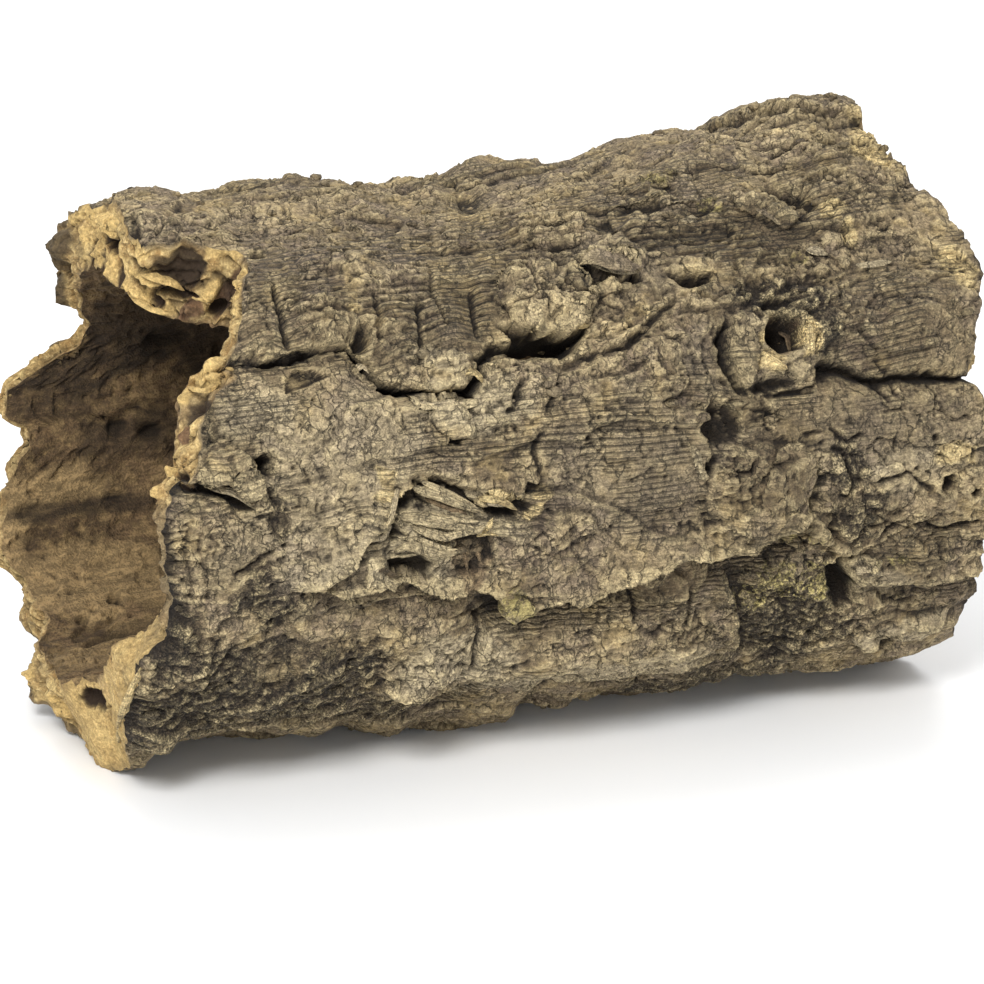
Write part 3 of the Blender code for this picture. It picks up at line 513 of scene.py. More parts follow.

# The small plates, chips and holes that the photo shows, with the mark of those that differ in
# colour; the dark mark on holes and on hollows under overhangs is painted shade. lip is how far an
# edge hangs over, lean how much more a plate rises per mm along and round.
CHIPS = {
    "tear_floor": dict(rise=-3, sharp=1.4, outline=(
        (70, 11), (80, 13), (91, 11), (116, 4), (106, 0), (106, -6), (99, -8), (85, -8), (73, -12),
        (66, -4), (66, 5),
    )),
    "tear_hole": dict(rise=-5, round_over=1.5, outline=((68, 7), (70, 9), (78, 7), (75, 5))),
    "tear_left_hole": dict(rise=-5, round_over=1.5, outline=((66, 4), (68, 3), (75, -0.5), (69, 0))),
    "tear_wedge_hole": dict(rise=-5, round_over=1.5, outline=((80, 8.5), (84, 5.5), (80, 6.5))),
    "tear_upper_gap": dict(rise=-4, round_over=1, outline=((78, 12), (90, 9.5), (88, 8.5), (78, 11))),
    "tear_low_hole": dict(rise=-5, outline=((69, -4.5), (80, -4.5), (85, -6), (83, -8), (70, -7))),
    "tear_wall": dict(rise=-1.5, paint="brown", outline=(
        (93, -1.5), (105, -2), (106, -6), (98, -13), (92, -6),
    )),
    "tear_middle_hole": dict(rise=-6.5, round_over=1.5, outline=((82, 0), (92, -1.5), (90, -3))),
    "right_hole": dict(rise=-5, round_over=1.2, outline=(
        (101, 5), (105, 3.5), (115, 2.5), (114, 1), (106, 2),
    )),
    "right_lip": dict(rise=2.4, round_over=1.2, lip=1.6, paint="torn", outline=(
        (101, 6.5), (106, 7.5), (114, 6), (114, 3), (105, 6.5), (101, 5),
    )),
    "left_flake": dict(rise=1.8, round_over=1.2, lip=0.8, paint="pale", outline=(
        (60, -3), (65, -3), (72, -6), (70, -8), (58, -6),
    )),
    "chipped_plate": dict(rise=-0.8, round_over=1, paint="torn", outline=(
        (64, 15), (70, 14), (70, 10), (65, 11),
    )),
    "green_tuft": dict(rise=0.8, paint="lichen", outline=(
        (108, -10), (113, -13), (116, -13), (119, -17), (121, -18), (118, -19), (120, -22), (116, -19),
        (114, -21), (113, -16),
    )),
    "tan_tuft": dict(rise=1.2, round_over=1.5, paint="torn", outline=(
        (116, 1.5), (125, 4), (124, 1), (118, 0.5),
    )),
    "block_top": dict(rise=2.4, round_over=2.5, lip=2.2, outline=(
        (122, 47), (123, 50), (131, 54), (141, 51), (152, 47), (150, 43), (150, 38), (137, 39), (124, 40),
    )),
    "block_left_facet": dict(rise=1.8, round_over=1, lip=1, lean=(0.14, 0.1), outline=(
        (121, 46), (124, 51), (131, 53), (132, 46), (127, 42),
    )),
    "block_middle_facet": dict(rise=1.4, round_over=1, lean=(-0.12, 0.2), outline=(
        (133, 46), (133, 52), (141, 51.5), (143, 46), (138, 43.5),
    )),
    "block_right_facet": dict(rise=1.4, round_over=1, lean=(0.12, -0.15), outline=(
        (144, 46), (143, 50), (152, 47), (152, 43), (146, 41),
    )),
    "block_low_facet": dict(rise=2.4, round_over=1, lip=2, lean=(0, -0.25), outline=(
        (126, 41), (132, 45), (141, 43), (150, 40.5), (141, 38.8), (131, 39.5),
    )),
    "under_block_hole": dict(rise=-10, round_over=3, sharp=1.0, paint="dark", outline=(
        (119, 41), (124, 40.5), (132, 39.5), (142, 39), (151, 39), (147, 36.5), (143, 34), (138, 32.5),
        (132, 34), (125, 36.5),
    )),
    "under_flap_hole": dict(rise=-6, round_over=1.5, paint="dark", outline=(
        (150, 51), (157, 52), (173, 49.5), (174, 48), (164, 47.5), (156, 47.5),
    )),
    "under_slope_hole": dict(rise=-5, round_over=2, sharp=1.0, paint="dark", outline=(
        (184, 48), (190, 47.5), (200, 47), (199, 45), (192, 44.5), (186, 46),
    )),
    "flap_tip": dict(rise=3.4, round_over=1.5, lip=3, lean=(0, -0.2), outline=(
        (151, 51.5), (155, 52), (160, 54), (162, 52), (170, 51), (171, 48), (158, 50),
    )),
    "narrow_plate": dict(rise=1.6, round_over=1.2, lip=1, outline=(
        (153, 44.5), (160, 47), (167, 48), (170, 46),
    )),
    "wedge_plate": dict(rise=1.2, round_over=0.8, lip=1.2, paint="grey", outline=(
        (200, 33), (201, 34.5), (207, 34.5), (210, 30), (207, 24), (202, 20.5), (198, 28),
    )),
    "knot_dark_hole": dict(rise=-10, round_over=3, sharp=1.0, paint="brown", outline=(
        (215, 34), (218, 36), (223, 36.5), (228, 34.5), (228.5, 31), (226, 28.5), (221, 29), (216, 31),
    )),
    "knot_wood": dict(rise=3, round_over=3, paint="brown", outline=(
        (219, 33), (223, 33), (224, 31), (222, 28), (216, 26.5), (212, 28),
    )),
    "knot_right_strip": dict(rise=3, round_over=1.5, paint="torn", outline=(
        (228, 33), (230, 33), (231, 31.5), (230, 27), (226, 27),
    )),
    "knot_tan_chunk": dict(rise=3, round_over=1.5, paint="torn", outline=(
        (210, 28.5), (218, 25), (214, 24), (209, 25.5),
    )),
    "knot_pink_bulb": dict(rise=2, round_over=1.5, paint="grey", outline=(
        (209, 25.5), (215, 24.5), (219, 25), (219, 23.5), (211, 23),
    )),
    "knot_pale_lip": dict(rise=1.6, round_over=0.8, paint="torn", outline=(
        (212, 32.5), (216, 33.5), (211, 29.5),
    )),
    "knot_grey_lump": dict(rise=3, round_over=3, paint="grey", outline=(
        (221, 25.5), (225, 26), (229, 25), (228, 23), (224, 21), (220, 24.5),
    )),
    "above_knot": dict(rise=-3.5, sharp=1.4, paint="dark", outline=(
        (211, 37), (219, 40), (226, 39.5), (233, 35.5), (224, 36), (212, 35),
    )),
    "below_knot": dict(rise=-3.5, round_over=1.5, paint="dark", outline=(
        (209, 23), (214, 20), (231, 21), (228, 19), (211, 19),
    )),
    "roll_top": dict(rise=2.4, round_over=5, lip=1.6, outline=(
        (203, -1), (206, 4), (212, 8.5), (220, 9.5), (225, 5.5), (226, 1), (222, -1), (206, -2),
    )),
    "roll_pit": dict(rise=-4, round_over=1, outline=((185, 8), (188, 6.5), (187, 4.5), (185, 5))),
    "roll_recess": dict(rise=-3.5, paint="dark", outline=(
        (193, 17), (194, 19), (200, 17), (200, 15), (198, 13.5),
    )),
    "smooth_scoop": dict(rise=-1.2, round_over=3, outline=(
        (192, 17.5), (198, 13), (192, 9.5), (185, 10), (183, 15),
    )),
    "knuckle_top": dict(rise=2.4, round_over=3, lip=1.2, outline=(
        (216, -2.5), (225, -5), (234, -12), (233, -14), (223, -8.5),
    )),
    "oval_scale": dict(rise=2, round_over=3, lip=0.8, outline=(
        (234, 6.5), (240, 1), (241, -2), (238, -2.5), (232, 1),
    )),
    "front_tongue": dict(rise=2.2, round_over=3, lip=1.6, outline=(
        (2, 18), (8, 22.5), (11, 24), (16, 21), (20, 19), (20, 17.5), (15, 17.5), (10, 14),
    )),
    "front_lobe": dict(rise=2.6, round_over=3.5, lip=1.2, outline=(
        (12, 16), (15, 17.5), (20, 17.5), (23, 15.5), (24, 10), (21, 9), (16, 13),
    )),
    "front_deep_hole": dict(rise=-9, paint="dark", outline=((21, 19.5), (27, 19), (27, 15.5), (24, 16))),
    "front_channel": dict(rise=-5, round_over=1.5, outline=(
        (-2, 16), (3, 17.5), (14, 13.5), (20, 9), (16, 9), (8, 13), (-2, 14),
    )),
    "layered_recess": dict(rise=-2.4, round_over=1, outline=(
        (38, 34.5), (41, 36.5), (48, 36.5), (52, 34), (36, 31.5),
    )),
    "plate_peak": dict(rise=2.4, lip=1, outline=((62, 35), (66, 38), (70, 34.5), (69, 30))),
    "seam_round_hole": dict(rise=-6, round_over=1.5, outline=((75, 32.5), (78, 32), (79, 31), (76, 31.5))),
    "seam_roll": dict(rise=3, round_over=3, lip=2.4, paint="pale", outline=(
        (80, 26.5), (85, 25.5), (98, 26), (101, 24), (105, 29), (90, 29), (83, 30),
    )),
    "small_block": dict(rise=2.6, round_over=2.5, lip=1.4, outline=(
        (84, 24.5), (94, 26), (99, 23), (97, 21), (100, 20), (100, 18.5), (91, 19),
    )),
    "small_block_shadow": dict(rise=-4, round_over=1, outline=((91, 17.5), (92, 19), (96, 19), (96, 17))),
    "streaky_bulge": dict(rise=1.8, round_over=4, paint="pale", outline=(
        (80, 37), (90, 38), (106, 35), (102, 32), (92, 33),
    )),
    "low_deep_hole": dict(rise=-6, round_over=3, sharp=1.4, paint="dark", outline=(
        (235, -18.5), (243, -20), (248, -26), (250, -33.5), (245, -35), (240, -30),
    )),
    "low_lichen": dict(rise=1, paint="lichen", outline=((208, -18), (234, -18), (239, -27), (210, -24))),
    "low_pale_ledge": dict(rise=2.2, lip=1.5, paint="pale", outline=(
        (242, -19), (247, -17.5), (254, -19), (254, -23), (247, -29),
    )),
    "roll_plate_edge": dict(rise=1.8, round_over=1.2, lip=1, paint="pale", outline=(
        (178, 13), (182, 10), (185, 4), (183, 4.5),
    )),
    "hump_tan": dict(rise=-1.2, round_over=1, paint="torn", outline=(
        (268, 71), (275, 78), (282, 78), (286, 73), (281, 66),
    )),
    "slope_tan": dict(rise=-0.8, round_over=1, paint="torn", outline=((248, 59), (254, 55.5), (248, 56.5))),
    "slope_low_tan": dict(rise=-0.8, round_over=1, paint="torn", outline=((253, 50), (254, 54), (257, 53))),
    "rim_tan": dict(rise=-1.2, round_over=1, paint="torn", outline=(
        (288, 41), (291, 45.5), (298, 44), (301, 41), (298, 37), (291, 37),
    )),
    "rim_orange": dict(rise=-0.8, round_over=1, paint="torn", outline=(
        (276, 5), (283, 5), (292, 3), (290, 0), (276, 2),
    )),
    "rim_hole": dict(rise=-5, round_over=1.5, outline=((278, -2.5), (282, -3.5), (281, -5.5), (277, -4))),
    "low_pale_edge": dict(rise=1.5, paint="pale", outline=(
        (253, -41.5), (277, -38), (291, -37), (283, -45), (258, -46),
    )),
    "slope_fold": dict(rise=2.2, lip=1.5, outline=(
        (219, 66), (228, 63), (240, 58), (234, 56), (219, 62.5),
    )),
    "slope_low_fold": dict(rise=1.8, lip=1.2, outline=(
        (245, 54), (251, 52), (254, 48), (250, 44), (245, 51),
    )),
    "slope_scale": dict(rise=1.8, lip=1.2, outline=((190, 69), (194, 72), (208, 73), (206, 65), (193, 65))),
    "step_scale": dict(rise=1.6, lip=1, outline=(
        (136, 61), (140, 68), (155, 67), (162, 65), (156, 58), (143, 58),
    )),
    "step_small_scale": dict(rise=1.8, lip=1, outline=(
        (172, 62), (173, 67), (185, 68), (184, 61), (177, 58),
    )),
    "band_scale": dict(rise=1.2, lip=0.8, outline=(
        (249, 28), (250, 34.5), (266, 36), (280, 33), (276, 26), (261, 25.5),
    )),
    "right_scale": dict(rise=1.8, lip=1, outline=((244, 2), (259, 2.5), (268, -3), (262, -7.5), (247, -6))),
    "low_band_scale": dict(rise=1.1, lip=0.8, outline=(
        (143, -12), (160, -11), (181, -19), (184, -29), (165, -30), (149, -26),
    )),
    "low_plate_scale": dict(rise=1.6, lip=1, outline=(
        (84, -20), (101, -22), (110, -28), (111, -38), (102, -47), (84, -29),
    )),
    "low_left_scale": dict(rise=1.6, lip=1, outline=(
        (33, -15), (35, -11), (48, -7), (59, -16), (55, -22), (41, -22),
    )),
}

# The cracks between and across these plates, and, where depth is negative, a raised strand
CRACKS = {
    "slab_left_joint": dict(width=1.1, depth=2.6, path=((123, 7), (124, 11), (122.5, 14), (127, 19))),
    "slab_left_top_joint": dict(width=0.8, depth=2.2, path=((128, 20), (130, 24), (134, 27), (136, 31))),
    "block_gouge": dict(width=1.2, depth=4, path=((137, 46.5), (146, 45), (153, 45.5))),
    "block_short_slit": dict(width=0.8, depth=3, path=((138, 43.5), (140, 41))),
    "block_crescent": dict(width=0.8, depth=2.6, path=((147, 42.5), (148, 41), (151, 40.5))),
    "block_side_gouge": dict(width=0.8, depth=2.5, path=((152, 44.5), (158, 43))),
    "block_slit": dict(width=0.8, depth=3, path=((160, 41), (160, 38))),
    "wedge_left_split": dict(width=1.3, depth=6, path=(
        (202, 35.5), (199, 29), (200, 25.5), (202, 22), (201, 20),
    )),
    "wedge_low_split": dict(width=0.9, depth=3.5, path=((193, 25), (199, 22))),
    "roll_groove": dict(width=1.4, depth=2.4, path=((219, 8), (217, 6.5), (207, 4.5))),
    "roll_side_crack": dict(width=0.7, depth=2.6, path=((190, 7.5), (194, 6.5))),
    "roll_long_crack": dict(width=0.8, depth=3, path=((187, 4), (189, 5), (200, 5), (202, 7), (205, 8))),
    "oval_scale_crack": dict(width=0.9, depth=3, path=(
        (233, 7), (238, 6), (241, 2), (242, -1), (240, -3), (235, -3),
    )),
    "oval_top_crack": dict(width=0.6, depth=2.2, path=((222, 10.5), (233, 11))),
    "oval_upper_crack": dict(width=0.6, depth=2.2, path=((227, 8), (234, 9))),
    "oval_middle_crack": dict(width=0.6, depth=2.2, path=((226, 6), (232, 5.5))),
    "oval_low_crack": dict(width=0.6, depth=2.2, path=((224, 3.5), (228, 3), (231, 3.5))),
    "second_column_slot": dict(width=1.7, depth=5, path=((67.5, 44.5), (68, 41), (68.4, 38))),
    "third_column_side": dict(width=0.9, depth=2.2, path=((75, 51), (74, 44), (71.5, 36.5))),
    "fourth_column_side": dict(width=0.9, depth=3, path=((91, 49), (88, 41), (86, 33))),
    "fifth_column_side": dict(width=0.8, depth=2.6, path=((112, 51), (110, 44), (109.5, 38))),
    "lobe_crack": dict(width=0.8, depth=2.6, path=((24, 15.5), (29, 7.5))),
    "small_block_crack": dict(width=0.9, depth=3, path=((85, 25), (88, 21.5), (91, 19))),
    "band_crack": dict(width=0.7, depth=2.4, path=((40, 43.5), (41, 40.5))),
    "hump_crack": dict(width=0.9, depth=2.6, path=((222, 87), (233, 81), (249, 77.5), (284, 78.5))),
    "slope_slot": dict(width=1.5, depth=5, path=((233, 63), (238, 60), (245, 56.5))),
    "right_seam_crack": dict(width=1, depth=3.5, path=((261, 19.5), (262, 15))),
    "slab_top_edge": dict(width=0.9, depth=2.6, path=((136, 32), (146, 38), (151, 37.5))),
    "slab_side_edge": dict(width=0.8, depth=2.2, path=((151, 32.5), (161, 32.5), (168, 35), (175, 38.5))),
    "lichen_strand": dict(width=0.8, depth=-1.4, path=((220, -19.5), (230, -30))),
}

# Splinters, strips and slivers that stand off the bark. Each has a middle line of (along, angle,
# height over OUTER_RADIUS, half its width), from its root to its tip, and a thickness.
SLIVERS = {
    "first_splinter": dict(thick=1.3, paint="splinter", line=(
        (77, 10, -1, 1.1), (82, 8.5, 0, 1.8), (87, 7.5, 2, 1.8), (93, 5.5, 3, 1.4), (101, 3.5, 3, 0.7),
    )),
    "second_splinter": dict(thick=1.0, paint="splinter", line=(
        (80, 11, -1, 0.7), (86, 9, 1, 1.4), (93, 6.5, 2, 1.4), (100, 4, 2, 0.5),
    )),
    "dark_splinter": dict(thick=0.9, paint="brown", line=(
        (82, 7, -3, 0.7), (86, 6, -1, 1.1), (91, 4.5, 1, 1.1), (95, 3.5, 2, 0.7),
    )),
    "middle_splinter": dict(thick=1.4, paint="splinter", line=(
        (71, 4.5, 0, 1.4), (78, 4, 3, 2.2), (84, 3, 5, 2.2), (90, 2, 6, 1.6), (99, 0.5, 5, 0.7),
    )),
    "lower_splinter": dict(thick=1.3, paint="splinter", line=(
        (75, 2.5, 0, 1.1), (79, 1.5, 2, 1.8), (86, -0.5, 4, 1.8), (90, 0.5, 6, 1.4), (99, 0.5, 5, 1.1),
        (102, 2, 5, 0.5),
    )),
    "thin_splinter": dict(thick=0.8, paint="splinter", line=(
        (82, 4.5, 1, 0.5), (86, 4, 4, 0.7), (91, 3, 6, 0.7), (98, 2.5, 6, 0.5),
    )),
    "foot_splinter": dict(thick=1.4, paint="splinter", line=(
        (70, -3.5, -2, 1.1), (74, -1.5, 1, 1.8), (80, -2.5, 3, 1.8), (86, -4, 4, 1.4), (92, -3.5, 4, 0.7),
    )),
    "foot_thin_splinter": dict(thick=0.9, paint="splinter", line=(
        (76, 0, 0, 0.7), (81, -1.5, 2, 1.1), (87, -3, 3, 1.1), (91, -3, 4, 0.5),
    )),
    "pale_tip": dict(thick=0.8, paint="torn", line=(
        (101, -1, 2, 0.5), (102, 1, 5, 1.4), (103, 2.5, 6, 0.4),
    )),
    "second_tip": dict(thick=0.7, paint="torn", line=(
        (99, -1.5, 1, 0.5), (102, -0.5, 5, 0.9), (104, -0.5, 7, 0.4),
    )),
    "wall_fibre": dict(thick=0.8, paint="brown", line=(
        (95, -4, -3, 0.7), (96, -6, -2, 0.9), (97, -9, -1, 0.5),
    )),
    "wall_second_fibre": dict(thick=0.8, paint="brown", line=(
        (100, -4, -4, 0.7), (101, -6, -2.5, 0.9), (103, -9, -2, 0.5),
    )),
    "overhanging_lip": dict(thick=1.2, paint="torn", line=(
        (100, 6, 0, 0.7), (104, 6, 1.5, 1.4), (109, 5, 2, 1.4), (114, 3, 0, 0.7),
    )),
    "lip_sliver": dict(thick=0.8, paint="pale", line=(
        (103, 5, 1, 0.6), (107, 4.5, 1, 0.8), (111, 4, 0, 0.5),
    )),
    "plate_edge_splinter": dict(thick=1.0, paint="pale", line=(
        (72, 10, -2, 0.8), (70, 8, 0, 1.2), (68, 5.5, 2, 1.2), (66, 3, 2, 0.6),
    )),
    "plate_edge_low_splinter": dict(thick=1.0, paint="pale", line=(
        (68, 3, 1, 0.7), (65, 0.5, 1, 1), (59, 0.5, 2, 0.5),
    )),
    "left_dark_flake": dict(thick=1.0, paint="dark", line=(
        (61, -5.5, 0, 0.8), (64, -5.5, 2.5, 1.1), (69, -8, 0, 1.1), (74, -9, -4, 0.6),
    )),
    "left_low_flake": dict(thick=0.9, paint="pale", line=(
        (60, -6.5, 0, 0.6), (60, -7.5, 3, 0.9), (58, -8.5, 5, 0.5),
    )),
    "curl_arc": dict(thick=1.2, paint="torn", line=(
        (97, 28.5, -6, 0.7), (97, 31, -4, 1.2), (102, 32.5, -3, 1.4), (107, 32, -4, 1.4),
        (109, 29.5, -5, 0.8),
    )),
    "seam_lip": dict(thick=1.1, paint="pale", line=(
        (79, 27, -1, 0.7), (84, 25.5, 1, 1.4), (92, 25.5, 1, 1.4), (98, 25, 0, 1.4), (104, 25.5, -2, 0.7),
    )),
    "peak_lip": dict(thick=1.0, paint="pale", line=(
        (62, 34.5, -4, 0.7), (67, 37, -5, 1.6), (71, 34.5, -6, 1.4), (74, 32.5, -9, 0.7),
    )),
    "notch_lip": dict(thick=1.1, paint="pale", line=(
        (4, 15.5, -4, 0.7), (9, 14, -5, 1.3), (13, 13.5, -4, 1.3), (17, 11.5, -2, 1.1),
        (20, 9.5, -2.5, 0.5),
    )),
    "rim_top_curl": dict(thick=1.3, paint="torn", line=(
        (23, 38, -8, 0.7), (22, 41, -13, 1.4), (17, 40, -13, 1.4), (14, 39, -15, 1.1),
    )),
    "flap_plate": dict(thick=1.8, paint="grey", line=(
        (177, 51.5, 0, 2), (169, 50.5, 4, 4.5), (162, 51, 5.5, 5), (156, 51.5, 6, 3), (150, 50, 6.5, 0.8),
    )),
    "flap_low_sliver": dict(thick=0.9, paint="pale", line=(
        (175, 50, -2, 0.7), (167, 49, 1, 1.2), (161, 50, 2, 1.2), (157, 51, 2, 0.6),
    )),
    "block_tip": dict(thick=1.4, paint="pale", line=(
        (130, 45, 1, 0.9), (126, 45.5, 3, 1.3), (124, 47, 1.5, 1.2), (121.5, 48, 1, 0.6),
    )),
    "block_low_lip": dict(thick=1.2, paint="torn", line=(
        (152, 39, -3, 0.7), (145, 39.5, -4, 1.3), (137, 39, -4, 1.3), (130, 39.5, -3, 1.2),
        (125, 40.5, -3, 0.7),
    )),
    "block_ridge": dict(thick=1.2, paint="pale", line=(
        (152, 47, 1, 0.7), (146, 45.5, 3, 1.1), (142, 46.5, 3, 1.1), (136, 47, 3.5, 0.6),
    )),
    "knot_strip": dict(thick=1.4, paint="torn", line=(
        (232, 34.5, 1, 0.9), (230.5, 32, 3, 1.6), (229, 29.5, 3.5, 1.6), (227.5, 27, 2.5, 0.8),
    )),
    "knot_chunk": dict(thick=1.8, paint="torn", line=(
        (211, 28.5, 0, 1), (212, 27, 3.5, 1.6), (215, 25.5, 4, 1.6), (219, 24.5, 1, 0.8),
    )),
    "knot_rib": dict(thick=1.0, paint="brown", line=(
        (224.5, 34.5, -12, 0.8), (226, 32.5, -9, 1.2), (224.5, 28.5, -6, 0.8),
    )),
    "roll_edge_lip": dict(thick=1.2, paint="pale", line=(
        (180, -10, 0, 0.9), (187, -10, 2, 1.8), (195, -8.5, 5, 2), (204, -6.5, 6.5, 1.8),
        (213, -4.5, 6, 0.8),
    )),
    "right_low_shelf": dict(thick=1.6, paint="pale", line=(
        (246, -21.5, 0.5, 1.8), (250, -21, 2.5, 2.2), (257, -23, 1.5, 0.7),
    )),
    "slope_chip": dict(thick=1.2, paint="pale", line=(
        (205, 61, -2, 1.6), (201, 62, -0.5, 2.8), (195, 61.5, 0.5, 1.6),
    )),
    "slope_second_chip": dict(thick=1.2, paint="grey", line=(
        (223, 64.5, 1, 1.6), (226, 61.5, 3, 2.8), (230, 58, 3, 2.2), (233, 56, 1, 1),
    )),
    "slope_third_chip": dict(thick=1.2, paint="pale", line=(
        (239, 53.5, -3, 1.4), (241, 50, -0.5, 2.4), (248, 49, -1, 1.4),
    )),
    "band_edge_chip": dict(thick=1.0, paint="pale", line=(
        (253, 45, -1, 0.7), (259, 44, 2.5, 1.4), (266, 44, 3, 1),
    )),
    "foot_ridge": dict(thick=1.6, paint="torn", line=(
        (-14, -23, -7, 1.1), (-20, -27, -2, 1.8), (-21, -39, -4, 1.8), (-10, -67, -6, 1.1),
    )),
}

# Strands and curls of pale cork in the broken left end, in the same way
STRANDS = {
    "pale_stick": dict(thick=0.9, line=((20, 65, -17, 0.5), (21, 62, -14, 0.7), (25, 62, -17, 0.5))),
    "band_fringe": dict(thick=1.8, line=(
        (7, 85, -28, 1.4), (7, 76, -27, 2.2), (10, 73, -28, 2.2), (15, 69, -28, 1.2),
    )),
    "upper_fringe": dict(thick=2.2, line=(
        (7, 80, -18, 1.4), (8, 71, -13, 2.6), (15, 70, -15, 2.4), (19, 69, -18, 1.2),
    )),
    "rim_curl": dict(thick=1.2, line=(
        (20, 38, -2, 0.8), (20, 42, -12, 1.2), (14, 40, -10, 1.2), (10, 37, -9, 0.7),
    )),
    "rim_second_curl": dict(thick=1.1, line=(
        (9, 39.5, -20, 0.7), (8, 37, -12, 1.1), (11, 35, -6, 1.1), (16, 36.5, -8, 0.6),
    )),
}

# Rounded plates of bark
SWELLS = {
    "upper_band": dict(at=(60, 53), half=(70, 19), depth=-4.5),
    "right_band": dict(at=(266, 34), half=(44, 22), depth=-4.5),
    "low_band": dict(at=(158, -38), half=(52, 16), depth=-4.0),
    "slab": dict(at=(156, 14), half=(32, 34), depth=-2.5),
    "front_plate": dict(at=(46, 24), half=(36, 20), depth=-4.0),
    "roll": dict(at=(208, 3), half=(16, 12), depth=-2.0),
    "front_low": dict(at=(24, -2), half=(26, 18), depth=-1.5),
    "low_left": dict(at=(30, -36), half=(34, 20), depth=-2.0),
    "low_left_knob": dict(at=(44, -30), half=(12, 9), depth=-3.0),
    "low_middle_knob": dict(at=(84, -40), half=(13, 9), depth=-3.0),
}

# Rounded columns of bark, most of them side by side, that the growth lines bend round
COLUMNS = {
    "first": dict(at=(32, 45), half=(8, 10), depth=-1.8),
    "second": dict(at=(54, 46), half=(12, 11), depth=-2.2),
    "third": dict(at=(81, 41), half=(8, 13), depth=-2.4),
    "fourth": dict(at=(99, 42), half=(10, 12), depth=-2.2),
    "fifth": dict(at=(118, 49), half=(7, 10), depth=-1.6),
    "front_fold": dict(at=(57, 9), half=(11, 14), depth=-2.6),
    "middle_first": dict(at=(142, 64), half=(9, 10), depth=-1.6),
    "middle_second": dict(at=(160, 63), half=(8, 10), depth=-1.6),
    "right_first": dict(at=(246, 34), half=(11, 12), depth=-1.6),
    "right_second": dict(at=(269, 35), half=(11, 12), depth=-1.8),
    "low_first": dict(at=(134, -35), half=(12, 12), depth=-1.4),
    "low_second": dict(at=(158, -34), half=(12, 13), depth=-1.6),
    "low_third": dict(at=(182, -36), half=(11, 12), depth=-1.6),
    "back_first": dict(at=(110, 150), half=(11, 12), depth=-2.0),
    "back_second": dict(at=(134, 151), half=(10, 12), depth=-2.0),
    "back_third": dict(at=(60, 214), half=(14, 11), depth=-2.0),
}

# The shoulders where two plates of bark roll in to a seam
SHOULDERS = {
    "front_seam": dict(path=FISSURES["front_seam"]["path"], width=7.0, depth=1.5),
    "right_seam": dict(path=FISSURES["right_seam"]["path"], width=6.0, depth=2.5),
    "low_mid_seam": dict(path=((100, -18), (104, -30), (103, -44), (100, -56)), width=5.0, depth=2.5),
    "band_seam": dict(path=((126, 58), (122, 68), (128, 82), (140, 92)), width=5.0, depth=2.5),
}

# Where the bark differs in colour and grain, as (along, angle, half length, half height in mm) and
# a strength where it isn't 1. Growth lines are clear on a band, stand out as ribs on a rib patch
# and hardly show on a plain one, and bark is broken into plates and chunks on a rough patch. Dark
# patches are partly painted shade, and pale patches are partly painted light.
CRUST_PATCHES = (
    (-8, -20, 9, 26), (0, -44, 26, 20), (30, -26, 26, 10), (58, -30, 20, 12), (12, -34, 34, 24),
    (46, -38, 34, 18), (72, -52, 30, 12), (224, -34, 26, 30), (205, -58, 40, 16), (246, -8, 9, 14),
    (241, 2, 8, 12), (221, 40, 14, 7), (232, 34, 10, 12), (22, -12, 14, 12), (48, 224, 40, 30),
    (230, 250, 40, 26), (150, 262, 34, 18), (120, 176, 26, 16), (28, 6, 4, 8, 0.8), (20, -4, 5, 7, 0.8),
    (6, 28, 5, 8, 0.8),
)
TORN_PATCHES = (
    (215, 27, 6.5, 3), (231, 31, 2.6, 7), (253, 58.5, 5, 3), (256.5, 52, 2.2, 5), (284, 78, 8, 13),
    (281, 3, 7, 4), (7, 34.5, 6, 3), (14, 38, 7, 3.4), (291, 44, 7, 6), (124, 5.4, 4, 3), (69, 9, 6, 2.6),
    (66, 47, 3, 2), (205, 160, 10, 6), (60, 206, 12, 5), (290, 130, 8, 10),
)
LICHEN_PATCHES = (
    (218, -22, 11, 8), (210, -27, 7, 6), (228, -27, 7, 7), (114, -16, 4, 6), (235, 48.5, 5, 3),
    (194, 73, 7, 5), (210, 64, 5, 5), (222, -12, 9, 3), (262, -20, 8, 4), (80, 196, 12, 7), (20, 150, 8, 7),
)
# Partly pale bark and partly painted light, most strongly on the downturned lower band
PALE_AND_LIT_PATCHES = (
    (54, 14, 34, 26, 0.6), (86, 1, 26, 14), (100, 26, 24, 10), (24, 28, 18, 10, 0.7), (160, 200, 60, 30),
    (160, -43, 56, 12), (96, -34, 26, 14), (252, -26, 16, 8), (24, -2, 22, 12, 0.6),
    (34, 5, 20, 10, 0.6), (262, 0, 22, 8, 0.5),
)
BAND_PATCHES = (
    (60, 54, 70, 24), (150, -32, 90, 14), (262, 34, 40, 22), (196, 58, 26, 12), (150, 20, 26, 18),
    (120, 66, 50, 16), (262, 66, 40, 16), (190, 66, 60, 22), (80, 100, 70, 24), (150, 128, 90, 20),
    (180, 240, 60, 16),
)
RIB_PATCHES = (
    (54, 49, 13, 10, 0.7), (84, 45, 16, 15), (88, 36, 18, 8, 0.8), (147, 63, 19, 13), (190, 54, 14, 11),
    (216, 54, 10, 8, 0.7), (112, 52, 8, 16, 0.6), (160, -36, 46, 20, 0.4), (262, 34, 36, 18, 0.2),
    (30, 50, 22, 14, 0.5), (246, 60, 14, 10, 0.6), (156, 12, 22, 12, 0.35), (120, 150, 30, 18, 0.7),
    (60, 214, 30, 14, 0.6), (200, 214, 30, 14, 0.7), (250, 130, 26, 20, 0.6), (110, 254, 30, 14, 0.5),
)
PLAIN_PATCHES = (
    (60, 80, 64, 20), (200, 88, 56, 18), (26, -4, 38, 22), (50, 22, 26, 16, 0.9), (262, 0, 30, 26),
    (214, 4, 16, 14), (80, -28, 26, 14, 0.7), (60, 168, 60, 14, 0.7), (230, 190, 40, 16, 0.7),
    (262, 84, 34, 14, 0.6),
)
